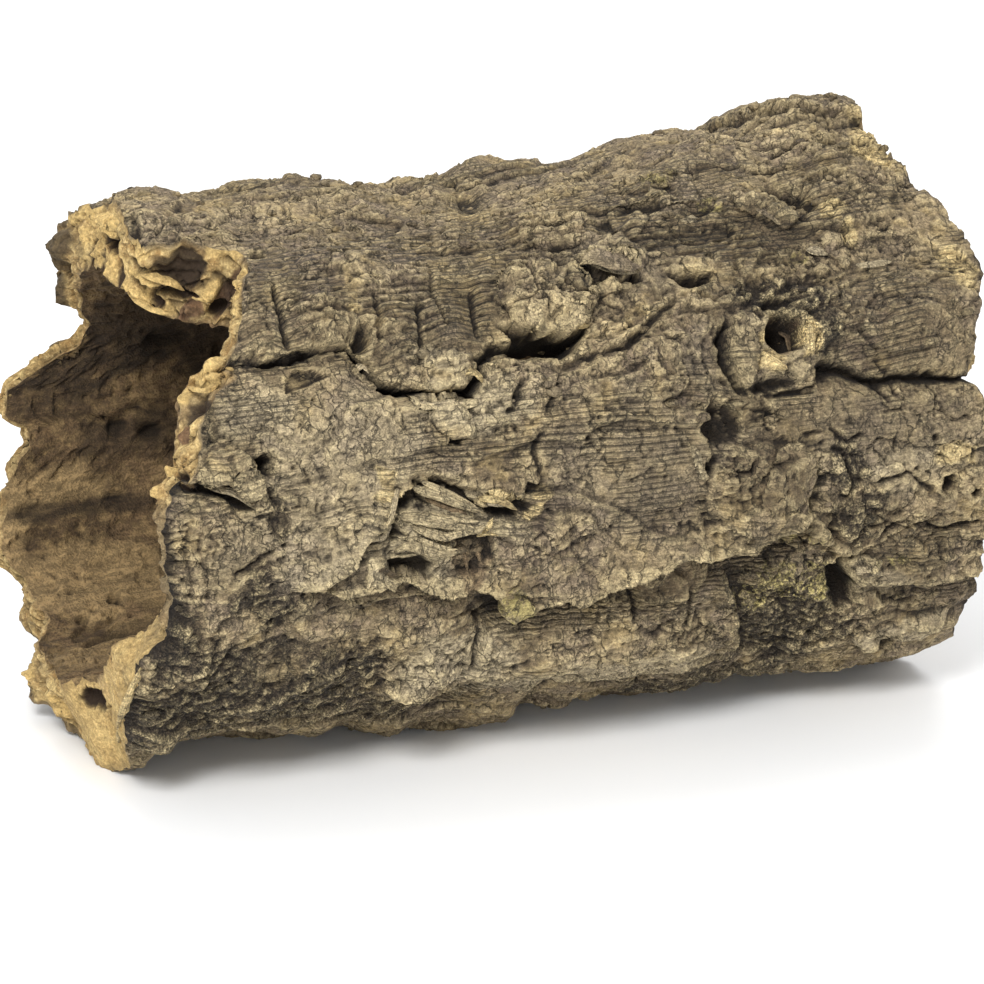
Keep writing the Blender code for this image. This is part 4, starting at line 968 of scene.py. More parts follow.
ROUGH_PATCHES = (
    (117, 25, 14, 14, 0.6), (140, 46, 20, 11, 0.9), (192, 43, 24, 13, 0.4), (90, 2, 28, 12, 0.3),
    (212, 2, 18, 14, 0.25), (238, -14, 18, 16, 0.7), (238, -36, 38, 16, 0.55), (204, 17, 12, 9, 0.6),
    (34, -40, 50, 20, 0.4), (226, 45, 22, 12, 0.7), (232, 66, 26, 12, 0.4), (284, -14, 26, 30, 0.4),
    (150, 78, 36, 10, 0.5), (268, 84, 30, 14, 0.45), (60, 186, 34, 26, 0.8), (190, 188, 44, 26, 0.8),
    (130, 228, 40, 16, 0.7), (232, 150, 30, 20, 0.8), (20, 146, 20, 20, 0.7), (110, 110, 40, 16, 0.5),
    (8, 76, 14, 16, 0.6), (255, 2, 14, 10, 0.4),
)
# Partly dark bark and partly painted shade: under the ledges, along the seams and in the hollows
DARK_AND_SHADED_PATCHES = (
    (214, 55, 36, 15, 0.9), (224, 39, 18, 7, 1.0), (246, -9, 16, 12, 0.9), (116, -15, 14, 7, 0.7),
    (158, 47, 14, 5, 0.9), (90, 38, 30, 5, 0.5), (252, 30, 20, 10, 0.5), (280, 24, 22, 7, 0.5),
    (200, 18, 12, 8, 0.7), (14, -1, 16, 12, 0.6), (60, -12, 40, 6, 0.6), (150, -18, 60, 5, 0.5),
    (210, -8, 24, 4, 0.7), (258, -30, 30, 6, 0.6), (140, 60, 12, 10, 0.4), (275, -3, 16, 8, 0.4),
    (180, 200, 50, 20, 0.5), (90, 240, 60, 20, 0.5), (208, 4, 14, 12, 0.85), (160, -20, 46, 6),
    (122, -19, 18, 5), (205, -15, 14, 6, 0.8), (60, 42, 56, 9, 0.5), (108, 43, 18, 9, 0.5),
    (276, -34, 24, 12, 0.45), (228, 58, 22, 10, 0.6), (205, 44, 16, 5, 0.8), (76, -16, 20, 5, 0.6),
    (138, 47, 16, 10, 0.35), (264, 12, 26, 12, 0.35), (262, 34, 34, 20, 0.5), (236, 16, 20, 10, 0.4),
    (24, -30, 40, 16, 0.5), (200, 32, 8, 16, 0.6), (-6, -30, 10, 40, 0.8), (31, 10, 7, 5, 0.6),
    (262, -18, 26, 14, 0.65), (40, 22, 30, 20, 0.2), (262, 70, 30, 20, 0.25), (74, 40, 30, 5, 0.5),
)
GREY_PATCHES = (
    (52, -8, 34, 16), (156, 10, 30, 22), (208, 30, 26, 20), (258, 8, 34, 18), (170, 52, 30, 14),
)

# The heights of small forms, in millimetres
Heights = namedtuple("Heights", "growth_line flake crust end")


def smooth(t):
    t = np.clip(t, 0.0, 1.0)
    return t * t * (3.0 - 2.0 * t)


def mix(a, b, share):
    return a + (b - a) * share


def scatter_bits(keys, seed):
    """Well mixed 32-bit numbers for whole-number keys, the same on every run."""
    mixed = np.int64(seed * 2654435761)
    for key, prime in zip(keys, (73856093, 19349663, 83492791)):
        mixed = mixed ^ (key & 0xFFFF) * prime
    mixed = mixed & 0xFFFFFFFF
    mixed = ((mixed ^ (mixed >> 15)) * 2246822519) & 0xFFFFFFFF
    mixed = ((mixed ^ (mixed >> 13)) * 3266489917) & 0xFFFFFFFF
    return mixed ^ (mixed >> 16)


def noise(points, size, seed):
    """Smooth noise of about -1 to 1, with lumps about size wide."""
    scaled = [column / size for column in points.T]
    cells = [np.floor(column) for column in scaled]
    offsets = [column - cell for column, cell in zip(scaled, cells)]
    blends = [offset * offset * offset * (offset * (offset * 6.0 - 15.0) + 10.0) for offset in offsets]
    cells = [cell.astype(np.int64) for cell in cells]
    total = np.zeros(len(points))
    for corner in np.ndindex(2, 2, 2):
        bits = scatter_bits([cell + step for cell, step in zip(cells, corner)], seed)
        weight = 1.0
        slope = 0.0
        for axis, step in enumerate(corner):
            weight = weight * (blends[axis] if step else 1.0 - blends[axis])
            gradient = (bits >> 10 * axis & 0x3FF) / 511.5 - 1.0
            slope = slope + gradient * (offsets[axis] - step)
        total += weight * slope
    return total * 1.3


def layered_noise(points, size, octaves, seed):
    total = np.zeros(len(points))
    strength = 1.0
    for octave in range(octaves):
        total += strength * noise(points, size, seed + octave)
        size *= 0.5
        strength *= 0.5
    return total


def read_line(line, at):
    """The value of a line of (place, value) pairs, with smooth joins."""
    places, values = np.array(line, float).T
    right = np.clip(np.searchsorted(places, at), 1, len(places) - 1)
    share = smooth((at - places[right - 1]) / (places[right] - places[right - 1]))
    return values[right - 1] + share * (values[right] - values[right - 1])


def arc(angle):
    """Millimetres round the bark for an angle in degrees."""
    return angle * math.radians(OUTER_RADIUS)


def near(angle, middle):
    """The angle brought within half a turn of middle."""
    return middle + (angle - middle + 180.0) % 360.0 - 180.0


def close_by(along, angle, path, reach):
    """Which points lie within reach of the box round a path."""
    path = np.array(path, float)
    turned = near(angle, path[:, 1].mean())
    low_along, low_angle = path.min(axis=0)
    high_along, high_angle = path.max(axis=0)
    reach_round = math.degrees(reach / OUTER_RADIUS)
    close = (along > low_along - reach) & (along < high_along + reach)
    close &= (turned > low_angle - reach_round) & (turned < high_angle + reach_round)
    return np.nonzero(close)[0]


def follow(along, angle, path, closed=False):
    """Where surface points lie beside a path: signed distance (left is positive), distance in
    from its ends, and the direction away from it."""
    path = np.array(path, float)
    middle = path[:, 1].mean()
    corners = np.column_stack([path[:, 0], arc(path[:, 1])])
    if closed:
        corners = np.vstack([corners, corners[:1]])
    points = np.column_stack([along, arc(near(angle, middle))])
    best = np.full(len(points), np.inf)
    signed = np.zeros(len(points))
    run = np.zeros(len(points))
    away = np.zeros((len(points), 2))
    walked = 0.0
    for start, end in zip(corners[:-1], corners[1:]):
        step = end - start
        length = math.hypot(*step)
        offset = points - start
        share = np.clip(offset @ step / length**2, 0.0, 1.0)
        from_path = offset - share[:, None] * step
        distance = np.hypot(*from_path.T)
        side = (step[0] * offset[:, 1] - step[1] * offset[:, 0]) / length
        rank = distance - 0.001 * np.abs(side)
        closer = rank < best
        best[closer] = rank[closer]
        signed[closer] = (np.where(side >= 0.0, 1.0, -1.0) * distance)[closer]
        run[closer] = (walked + share * length)[closer]
        away[closer] = (from_path / np.maximum(distance, 1e-6)[:, None])[closer]
        walked += length
    if closed:
        area = np.sum(corners[:-1, 0] * corners[1:, 1] - corners[1:, 0] * corners[:-1, 1])
        return signed * math.copysign(1.0, area), run, away
    return signed, np.minimum(run, walked - run), away


def add_ledge(along, angle, height, slide, path, drop, shelf, foot, lip):
    close = close_by(along, angle, path, 6.0 * max(shelf, foot))
    side, inward, away = follow(along[close], angle[close], path)
    fade = smooth(inward / LEDGE_END)
    high = smooth(0.5 + 0.5 * side / EDGE_SHARPNESS)
    above = 0.4 * np.exp(-np.abs(side) / shelf)
    below = 0.6 * np.exp(-((side / foot) ** 2))
    height[close] += drop * fade * (high * above - (1.0 - high) * below)
    overhang = lip * fade * high * np.exp(-((side / (2.0 * lip + 1.0)) ** 2))
    slide[close] -= overhang[:, None] * away


def add_fissure(along, angle, height, path, width, depth, valley=0.0):
    close = close_by(along, angle, path, 10.0 * width if valley else 3.0 * width)
    side, inward, _ = follow(along[close], angle[close], path)
    fade = smooth(inward / FISSURE_END)
    height[close] -= depth * fade * np.exp(-((side / width) ** 2))
    height[close] -= valley * fade * np.exp(-((side / (4.0 * width)) ** 2))


def add_scale(along, angle, height, outline, rise, round_over):
    close = close_by(along, angle, outline, EDGE_SHARPNESS)
    inside, _, _ = follow(along[close], angle[close], outline, closed=True)
    raised = smooth(0.5 + 0.5 * inside / EDGE_SHARPNESS) * (0.55 + 0.45 * smooth(inside / round_over))
    height[close] += rise * raised


def add_chip(
    along, angle, height, slide, marks, ragged, outline, rise, round_over=2.0, lip=0.0, sharp=0.6,
    lean=(0.0, 0.0), paint=None,
):
    """A small plate with a crisp edge that may hang over, or a chip gone from one."""
    close = close_by(along, angle, outline, 3.0)
    inside, _, away = follow(along[close], angle[close], outline, closed=True)
    middle = np.mean(outline, axis=0)
    tilt = lean[0] * (along[close] - middle[0]) + lean[1] * arc(near(angle[close], middle[1]) - middle[1])
    size = np.maximum(abs(rise) + tilt, 0.2 * abs(rise)) * math.copysign(1.0, rise)
    edge = smooth(0.5 + inside / sharp)
    height[close] += size * edge * (0.6 + 0.4 * smooth(inside / round_over))
    slide[close] -= (lip * edge * np.exp(-((inside / (1.5 * lip + 0.5)) ** 2)))[:, None] * away
    if paint:
        cover = smooth(0.5 + (inside + 1.2 * ragged[close]) / 1.2)
        cover = cover * np.clip(0.8 + 0.5 * ragged[close], 0.4, 1.0)
        marks[paint][close] = np.maximum(marks[paint][close], cover)


def add_hollow(along, angle, height, at, half, depth):
    reach = np.hypot((along - at[0]) / half[0], arc(near(angle, at[1]) - at[1]) / half[1])
    height -= depth * smooth(1.25 - reach)


def wander(along, angle, points, size, far, seed):
    """Places moved about by noise, so that straight paths come out ragged."""
    moved_along = along + far * layered_noise(points, size, 3, seed)
    moved_angle = angle + math.degrees(far / OUTER_RADIUS) * layered_noise(points, size, 3, seed + 6)
    return moved_along, moved_angle


def main_relief(along, angle, points, left_edge, right_edge):
    """The main forms, as the solid has them: height over OUTER_RADIUS, and slide (along, round)."""
    height = 2.2 * layered_noise(points * (0.7, 1.0, 1.0), 46.0, 2, seed=3)
    for side in SIDE_LINES.values():
        off = near(angle, side["angle"]) - side["angle"]
        height += read_line(side["line"], along) * np.exp(-((off / side["spread"]) ** 2))
    ragged_along = along + 3.0 * layered_noise(points, 16.0, 3, seed=11)
    ragged_along += 1.3 * layered_noise(points, 5.0, 3, seed=19)
    ragged_angle = angle + 1.6 * layered_noise(points, 16.0, 3, seed=17)
    ragged_angle += 0.7 * layered_noise(points, 5.0, 3, seed=23)
    slide = np.zeros((len(along), 2))
    for ledge in LEDGES.values():
        add_ledge(ragged_along, ragged_angle, height, slide, **ledge)
    for fissure in FISSURES.values():
        add_fissure(ragged_along, ragged_angle, height, **fissure)
    for scale in SCALES.values():
        add_scale(ragged_along, ragged_angle, height, **scale)
    for hollow in HOLLOWS.values():
        add_hollow(ragged_along, ragged_angle, height, **hollow)
    height -= read_line(CURL_LINE, angle % 360.0) * np.exp(-(along - left_edge) / CURL_LENGTH)
    height -= WORN_EDGE * np.exp(-(right_edge - along) / CURL_LENGTH)
    height += 1.4 * layered_noise(points * (0.5, 1.0, 1.0), 12.0, 3, seed=29)
    step = layered_noise(points * (0.45, 1.0, 1.0), 34.0, 3, seed=61)
    height += TERRACE * (smooth(0.5 + step / 0.06) + smooth(0.5 + (step - 0.35) / 0.06) - 1.0)
    return height, slide


def cork_cells(along, angle, length, breadth, seed):
    """A net of cells round the tube, each about length by breadth: how far a place is from the
    cell's edge and from its middle, in cells, a number from 0 to 1 for the cell, and how high the
    place is on the cell's tilt."""
    count = round(arc(360.0) / breadth)
    across = along / length
    round_it = (angle % 360.0) / 360.0 * count
    first_across = np.floor(across).astype(np.int64)
    first_round = np.floor(round_it).astype(np.int64)
    nearest = np.full(len(along), np.inf)
    second = np.full(len(along), np.inf)
    number = np.zeros(len(along))
    tilt = np.zeros(len(along))
    for step_across, step_round in np.ndindex(3, 3):
        cell_across = first_across + step_across - 1
        cell_round = first_round + step_round - 1
        bits = scatter_bits((cell_across, cell_round % count), seed)
        middle_across = cell_across + (bits & 0x3FF) / 1023.0
        middle_round = cell_round + (bits >> 10 & 0x3FF) / 1023.0
        distance = np.hypot(middle_across - across, middle_round - round_it)
        closer = distance < nearest
        second = np.where(closer, nearest, np.minimum(second, distance))
        number = np.where(closer, (bits >> 20 & 0x3FF) / 1023.0, number)
        lean = (bits >> 5 & 0x3FF) * (2.0 * math.pi / 1024.0)
        own_tilt = (middle_across - across) * np.cos(lean) + (middle_round - round_it) * np.sin(lean)
        tilt = np.where(closer, own_tilt, tilt)
        nearest = np.minimum(nearest, distance)
    return second - nearest, nearest, number, tilt


def pits(along, angle, spacing, above, smallest, growing, seed):
    """Round pits about spacing apart, in the cells whose number is above a limit: 1 in the middle
    of a pit and 0 outside. Their radius, in cells, grows with the number."""
    _, middle, number, _ = cork_cells(along, angle, spacing, spacing, seed)
    return (number > above) * smooth(1.0 - middle / (smallest + growing * number))


def patch_cover(along, angle, patches, ragged):
    """How far places lie in any of some oval patches with ragged edges, up to their strengths."""
    cover = np.zeros(len(along))
    for at_along, at_angle, half_along, half_round, *strength in patches:
        off_round = arc(near(angle, at_angle) - at_angle)
        reach = np.hypot((along - at_along) / half_along, off_round / half_round)
        inside = smooth((1.25 + ragged - reach) / 0.5)
        cover = np.maximum(cover, inside * (strength[0] if strength else 1.0))
    return cover


def growth_lines(angle, points, height):
    """The count of yearly growth lines up to a place. They run along the bark and wander."""
    lines = round(arc(360.0) / GROWTH_LINE_SPACING)
    wandering = 3.2 * layered_noise(points * (0.3, 1.0, 1.0), 44.0, 2, 101)
    return lines * angle / 360.0 + wandering + 0.1 * noise(points, 8.0, 103) + 0.16 * height


def stepped(count, sharpness):
    """One rounded step for each whole number of a count, which rises fast and slopes back."""
    share = count - np.floor(count)
    return smooth(share / sharpness) * (1.0 - share) - 0.4


def flaked(field, step, sharpness):
    """A smooth field broken into tilted flakes, each a sharp step above the next, in steps."""
    level = field / step
    share = level - np.floor(level)
    return smooth(share / sharpness) - share


def placed_forms(along, angle, points, slide):
    """The smaller forms of the tables, and of these the columns that growth lines bend round."""
    along, angle = wander(along, angle, points, 15.0, 2.2, 83)
    small = np.zeros(len(along))
    columns = np.zeros(len(along))
    for scale in SMALL_SCALES.values():
        add_scale(along, angle, small, **scale)
    for ledge in SMALL_LEDGES.values():
        add_ledge(along, angle, small, slide, **ledge)
    for split in (*SMALL_SPLITS.values(), *SHOULDERS.values()):
        add_fissure(along, angle, small, **split)
    for hole in (*SMALL_HOLES.values(), *SWELLS.values()):
        add_hollow(along, angle, small, **hole)
    for column in COLUMNS.values():
        add_hollow(along, angle, columns, **column)
    return small + columns, columns


def placed_marks(along, angle, points, ragged):
    """How far each place is crusty, pale, torn and so on, from 0 to 1."""
    crust = patch_cover(along, angle, CRUST_PATCHES, ragged)
    crust = crust * smooth(1.15 + 1.3 * layered_noise(points, 24.0, 3, 205))
    return dict(
        crust=crust,
        # pale is partly painted light and dark partly painted shade; the other marks are the bark's own
        # colours
        pale=patch_cover(along, angle, PALE_AND_LIT_PATCHES, ragged) * (1.0 - crust),
        torn=patch_cover(along, angle, TORN_PATCHES, 1.2 * ragged - 0.1) * 0.8,
        grey=patch_cover(along, angle, GREY_PATCHES, ragged),
        lichen=patch_cover(along, angle, LICHEN_PATCHES, 1.4 * ragged - 0.2),
        dark=patch_cover(along, angle, DARK_AND_SHADED_PATCHES, ragged),
        splinter=np.zeros(len(along)), brown=np.zeros(len(along)),
    )


def broken_plates(along, angle, points, rough, crust, flake):
    """Broken plates and tilted chunks where the bark is rough, and thin flakes elsewhere: how high
    they are, and a tone for each chunk."""
    plate = layered_noise(points * (0.55, 1.0, 1.0), 28.0, 5, 127)
    high = flake * (0.5 + 1.1 * rough) * flaked(plate, 0.34, 0.08)
    thin = layered_noise(points * (0.5, 1.0, 1.0), 12.0, 4, 131)
    high += flake * (0.25 + 0.4 * rough) * flaked(thin, 0.4, 0.12)
    high += rough * (1.6 * layered_noise(points * (0.7, 1.0, 1.0), 13.0, 3, 173) + 0.3)
    along, angle = wander(along, angle, points, 9.0, 2.0, 185)
    edge, _, number, tilt = cork_cells(along, angle, 15.0, 10.0, 187)
    high += rough * (1.0 - 0.6 * crust) * (2.4 * (number - 0.5) + 3.2 * tilt)
    high -= 1.8 * rough * smooth(1.0 - edge / 0.11) * smooth(0.4 + 2.0 * noise(points, 17.0, 189))
    tone = 0.5 + rough * (number - 0.5)
    edge, _, number, tilt = cork_cells(along, angle, 6.5, 4.6, 195)
    high += (0.03 + 0.6 * rough) * (0.7 * (number - 0.5) + 1.2 * tilt)
    high -= 0.7 * rough * smooth(1.0 - edge / 0.16) * smooth(0.3 + 2.0 * noise(points, 9.0, 198))
    return high, tone + 0.5 * rough * (number - 0.5)


def crack_nets(along, angle, points, band):
    """Splits across the growth lines, most of them on the smoother bands, and two broken nets of
    cracks: how high they leave the bark."""
    along, angle = wander(along, angle, points, 8.0, 1.8, 137)
    edge, _, number, _ = cork_cells(along, angle, 15.0, 27.0, 151)
    high = 0.5 * (number - 0.5) * band * smooth(edge / 0.1)
    split = smooth(2.2 * layered_noise(points, 24.0, 2, 157) + 0.5 * band)
    high -= 1.4 * split * smooth(1.0 - edge / 0.055)
    edge = cork_cells(along, angle, 12.0, 9.0, 139)[0]
    high -= 1.5 * smooth(1.0 - edge / 0.08) * smooth(2.0 * layered_noise(points, 26.0, 3, 149) - 0.3)
    edge = cork_cells(along, angle, 34.0, 9.0, 163)[0]
    high -= 1.3 * smooth(1.0 - edge / 0.08) * smooth(0.1 + 1.8 * layered_noise(points, 28.0, 2, 167))
    return high


def fine_relief(along, angle, points, height, slide, heights):
    """The small forms of weathered bark, its grain, and the marks that its finish goes by."""
    small, columns = placed_forms(along, angle, points, slide)
    ragged = 0.45 * layered_noise(points, 13.0, 4, 107)
    marks = placed_marks(along, angle, points, ragged)
    crust = marks["crust"]
    chip_along, chip_angle = wander(along, angle, points, 6.0, 0.7, 91)
    fringe = layered_noise(points, 3.5, 2, 93)
    for chip in CHIPS.values():
        add_chip(chip_along, chip_angle, small, slide, marks, fringe, **chip)
    for crack in CRACKS.values():
        add_fissure(chip_along, chip_angle, small, **crack)

    rough = patch_cover(along, angle, ROUGH_PATCHES, ragged)
    rough = np.clip(np.maximum(rough, 0.1 + 0.7 * layered_noise(points, 40.0, 2, 109)), 0.0, 1.0)
    band = patch_cover(along, angle, BAND_PATCHES, ragged) * (1.0 - crust) * (1.0 - rough)
    plates, tone = broken_plates(along, angle, points, rough, crust, heights.flake)
    small += plates + crack_nets(along, angle, points, band)

    # Yearly growth lines, broken off where the bark is rough, and the ribs that pairs of them make
    count = growth_lines(angle, points, height - ARCHING * columns)
    clear_lines = smooth(0.2 + 2.0 * layered_noise(points * (0.5, 1.0, 1.0), 22.0, 4, 113) + 0.7 * band)
    clear_lines = clear_lines * (1.0 - 0.85 * rough) * (1.0 - 0.8 * crust)
    clear_lines = clear_lines * (1.0 - 0.75 * patch_cover(along, angle, PLAIN_PATCHES, ragged))
    grain = heights.growth_line * stepped(count, 0.25) * (0.1 + clear_lines)
    ribbed = patch_cover(along, angle, RIB_PATCHES, ragged) * (1.0 - 0.5 * rough) * (1.0 - 0.7 * crust)
    ribs = count / 2.0 + 0.35 * layered_noise(points * (0.6, 1.0, 1.0), 11.0, 2, 209)
    small += 2.0 * ribbed * stepped(ribs, 0.22) * smooth(1.0 + 1.2 * noise(points, 7.0, 213))

    # Crumbly crust, pits and grit
    lump = 0.9 * layered_noise(points, 14.0, 3, 183) - 0.3 * np.abs(layered_noise(points, 4.2, 2, 186))
    small += heights.crust * crust * (lump + 0.05)
    small -= 1.8 * pits(along, angle, 13.0, 0.66, 0.03, 0.08, 181)
    pit = pits(along, angle, 3.6, 0.6, 0.34, 0.0, 191)
    grain -= (0.5 + 0.6 * rough + 0.5 * crust) * pit
    grit = 0.24 + 0.36 * rough + 0.3 * crust
    grain += grit * (noise(points * (0.8, 1.0, 1.0), 2.6, 193) + 0.6 * noise(points, 1.5, 197))
    grain += 0.8 * np.maximum(marks["torn"], marks["splinter"]) * noise(points * (0.2, 1.0, 1.0), 2.0, 199)
    marks.update(grain=grain, pit=pit, growth=count, lined=clear_lines, tone=tone, rough=rough)
    return small, marks


def inner_relief(along, angle, points):
    """How far the inner face stands in from the wall's own thickness, as the solid has it."""
    height = 2.0 * layered_noise(points * (0.6, 1.0, 1.0), 40.0, 3, seed=41)
    height += 0.8 * noise(points * (0.25, 1.0, 1.0), 9.0, seed=47)
    for hollow in INNER_HOLLOWS.values():
        add_hollow(along, angle, height, **hollow)
    for fissure in INNER_FISSURES.values():
        add_fissure(along, angle, height, **fissure)
    return height


def fine_inner_relief(along, angle, points):
    """The mottled, pitted face that lay against the wood, with layers of it flaked off."""
    along, angle = wander(along, angle, points, 9.0, 1.6, 211)
    small = 1.5 * layered_noise(points * (0.6, 1.0, 1.0), 18.0, 4, 223)
    small += 2.2 * flaked(layered_noise(points * (0.6, 1.0, 1.0), 30.0, 5, 227), 0.4, 0.1)
    small += 0.6 * flaked(layered_noise(points * (0.5, 1.0, 1.0), 9.0, 3, 231), 0.4, 0.14)
    edge = cork_cells(along, angle, 34.0, 8.0, 229)[0]
    small -= 1.6 * smooth(1.0 - edge / 0.12) * smooth(0.4 + 1.5 * noise(points, 30.0, 233))
    small -= 2.0 * pits(along, angle, 8.0, 0.66, 0.1, 0.14, 239)
    return small + 0.4 * noise(points, 2.4, 241)


def broken_edge(edge, angle, ring, share, seed):
    """How far an end's edge stands out past its end, ragged. share is the size of its ring."""
    ragged = 2.0 * layered_noise(ring * (0.0, 1.0, 1.0) * share, 12.0, 3, seed)
    fine = 0.7 * layered_noise(ring * (0.0, 1.0, 1.0) * share, 3.6, 2, seed + 200)
    return read_line(edge, angle % 360.0) + ragged + fine


def wall_at(along, angle, heights, inside):
    """One face of the bark wall: where it lies along, its radius and turn, and its marks."""
    turn = np.radians(angle)
    ring = OUTER_RADIUS * np.column_stack([np.zeros(len(along)), -np.cos(turn), np.sin(turn)])
    left_share = np.clip(1.0 - along / END_FALLOFF, 0.0, 1.0)
    right_share = np.clip(1.0 - (LENGTH - along) / END_FALLOFF, 0.0, 1.0)
    share = 0.75 if inside else 1.0
    left = broken_edge(LEFT_OUTER_EDGE, angle, ring, share, 53)
    right = broken_edge(RIGHT_OUTER_EDGE, angle, ring, share, 59)
    outer_along = along - left * left_share + right * right_share
    points = ring + np.outer(outer_along, (1.0, 0.0, 0.0))
    height, slide = main_relief(outer_along, angle, points, -left, LENGTH + right)
    if not inside:
        small, marks = fine_relief(outer_along, angle, points, height, slide, heights)
        radius = OUTER_RADIUS + height + small
        return outer_along + slide[:, 0], radius, turn + slide[:, 1] / OUTER_RADIUS, marks
    left = broken_edge(LEFT_INNER_EDGE, angle, ring, share, 53)
    right = broken_edge(RIGHT_INNER_EDGE, angle, ring, share, 59)
    inner_along = along - left * left_share + right * right_share
    points = 0.8 * ring + np.outer(inner_along, (1.0, 0.0, 0.0))
    wall = WALL_THICKNESS + read_line(WALL_LINE, angle % 360.0)
    depth = wall + inner_relief(inner_along, angle, points) + fine_inner_relief(inner_along, angle, points)
    radius = np.minimum(OUTER_RADIUS - depth, OUTER_RADIUS + height - THINNEST_WALL)
    return inner_along, radius, turn, dict()


def on_floor(points):
    """The points, in metres. The bark that the tube lies on is worn flat, so none is lower than
    the floor."""
    points[..., 2] = np.maximum(points[..., 2], 0.0)
    return points


def places(along, radius, turn):
    """Points of the frame in metres, for places along, out from and round the tube's axis."""
    spots = np.stack([along, -radius * np.cos(turn), radius * np.sin(turn)], axis=-1)
    return on_floor((spots - ORIGIN) * MM)


def blurred(values, columns, width):
    """A periodic (column, row) field, smoothed over about width mm, by way of an even grid."""
    even = 720
    wrapped_at = np.append(columns, columns[0] + 360.0)
    wrapped = np.vstack([values, values[:1]])
    at = columns[0] + np.arange(even) * 360.0 / even
    right = np.clip(np.searchsorted(wrapped_at, at, side="right"), 1, len(wrapped_at) - 1)
    share = (at - wrapped_at[right - 1]) / (wrapped_at[right] - wrapped_at[right - 1])
    field = wrapped[right - 1] + share[:, None] * (wrapped[right] - wrapped[right - 1])
    rows = field.shape[1]
    field = np.hstack([field, field[:, ::-1]])
    waves_round = np.fft.fftfreq(even, arc(360.0) / even)
    waves_along = np.fft.rfftfreq(2 * rows, LENGTH / (rows - 1))
    waves = waves_round[:, None] ** 2 + waves_along[None, :] ** 2
    falloff = np.exp(-2.0 * (math.pi * width) ** 2 * waves)
    field = np.fft.irfft2(np.fft.rfft2(field) * falloff, s=field.shape)[:, :rows]
    back = (columns - columns[0]) / 360.0 * even
    low = np.floor(back).astype(int) % even
    share = (back - np.floor(back))[:, None]
    return field[low] + share * (field[(low + 1) % even] - field[low])


def grid_normals(points, wraps, outward):
    """Smooth normals of a (column, row, 3) grid. outward is 1 or -1."""
    if wraps:
        padded = np.concatenate([points[-1:], points, points[:1]])
        round_it = padded[2:] - padded[:-2]
    else:
        round_it = np.gradient(points, axis=0)
    along = np.gradient(points, axis=1)
    normals = np.cross(along, round_it) * outward
    return normals / np.maximum(np.linalg.norm(normals, axis=-1, keepdims=True), 1e-12)


def each_pair(first, second):
    """Every value of first with every value of second, as two flat arrays."""
    return (field.ravel() for field in np.meshgrid(first, second, indexing="ij"))


def outside_columns():
    """The angles of the outside's columns, from under the front, over the top, to the foot. They
    lie closer together at the left end's upper break, which turns across the bark there."""
    start, end = DENSE_ANGLES
    fine = np.linspace(PIECE_ANGLES[0], PIECE_ANGLES[-1], 7201)
    dense = smooth((fine - start) / 2.0 + 1.0) * smooth((end - fine) / 2.0 + 1.0)
    weight = np.cumsum(1.0 + (DENSITY - 1.0) * dense)
    columns = []
    for first, last, count in zip(PIECE_ANGLES[:-1], PIECE_ANGLES[1:], PIECE_COLUMNS):
        span = np.interp((first, last), fine, weight)
        columns.append(np.interp(np.linspace(*span, count, endpoint=False), weight, fine))
    return np.concatenate(columns)


def inside_rows():
    """Places along the inside, closer together near the left end, where the camera looks in."""
    share = np.linspace(0.0, 1.0, INSIDE_ROWS)
    return LENGTH * (0.35 * share + 0.65 * share**2.2)


@functools.lru_cache(maxsize=1)
def outside_grid(heights):
    """The whole outside on its grid, with its grain smoothed away on steep walls."""
    columns = outside_columns()
    rows = np.linspace(0.0, LENGTH, OUTSIDE_ROWS)
    angle, along = each_pair(columns, rows)
    *spot, marks = wall_at(along, angle, heights, inside=False)
    shape = (len(columns), len(rows))
    x, radius, turn = (values.reshape(shape) for values in spot)
    marks = {name: mark.reshape(shape) for name, mark in marks.items()}
    soft = blurred(radius, columns, 0.9)
    steep = np.hypot(np.gradient(soft, arc(columns), axis=0), np.gradient(soft, rows, axis=1))
    radius = radius + marks.pop("grain") * (1.0 - 0.85 * smooth((steep - 0.5) / 1.2))
    marks["crevice"], marks["worn"] = hollows_and_edges(radius, columns)
    return columns, x, radius, turn, marks


def hollows_and_edges(radius, columns):
    """How deep a place lies in the folds of the bark, and how far it stands out, from 0 to 1: dirt and
    painted shade for the folds, wear and a painted highlight for what stands out.
    """
    fine = radius - blurred(radius, columns, 1.3)
    wide = radius - blurred(radius, columns, 5.0)
    broad = radius - blurred(radius, columns, 13.0)
    crevice = smooth(-fine / 0.8) * 0.6 + smooth(-wide / 3.4) * 0.85 + smooth((-broad - 1.0) / 6.0) * 0.45
    worn = smooth(fine / 0.8) * 0.7 + smooth((wide - 0.6) / 4.0) * 0.4
    return np.minimum(crevice, 1.0), np.minimum(worn, 1.0)


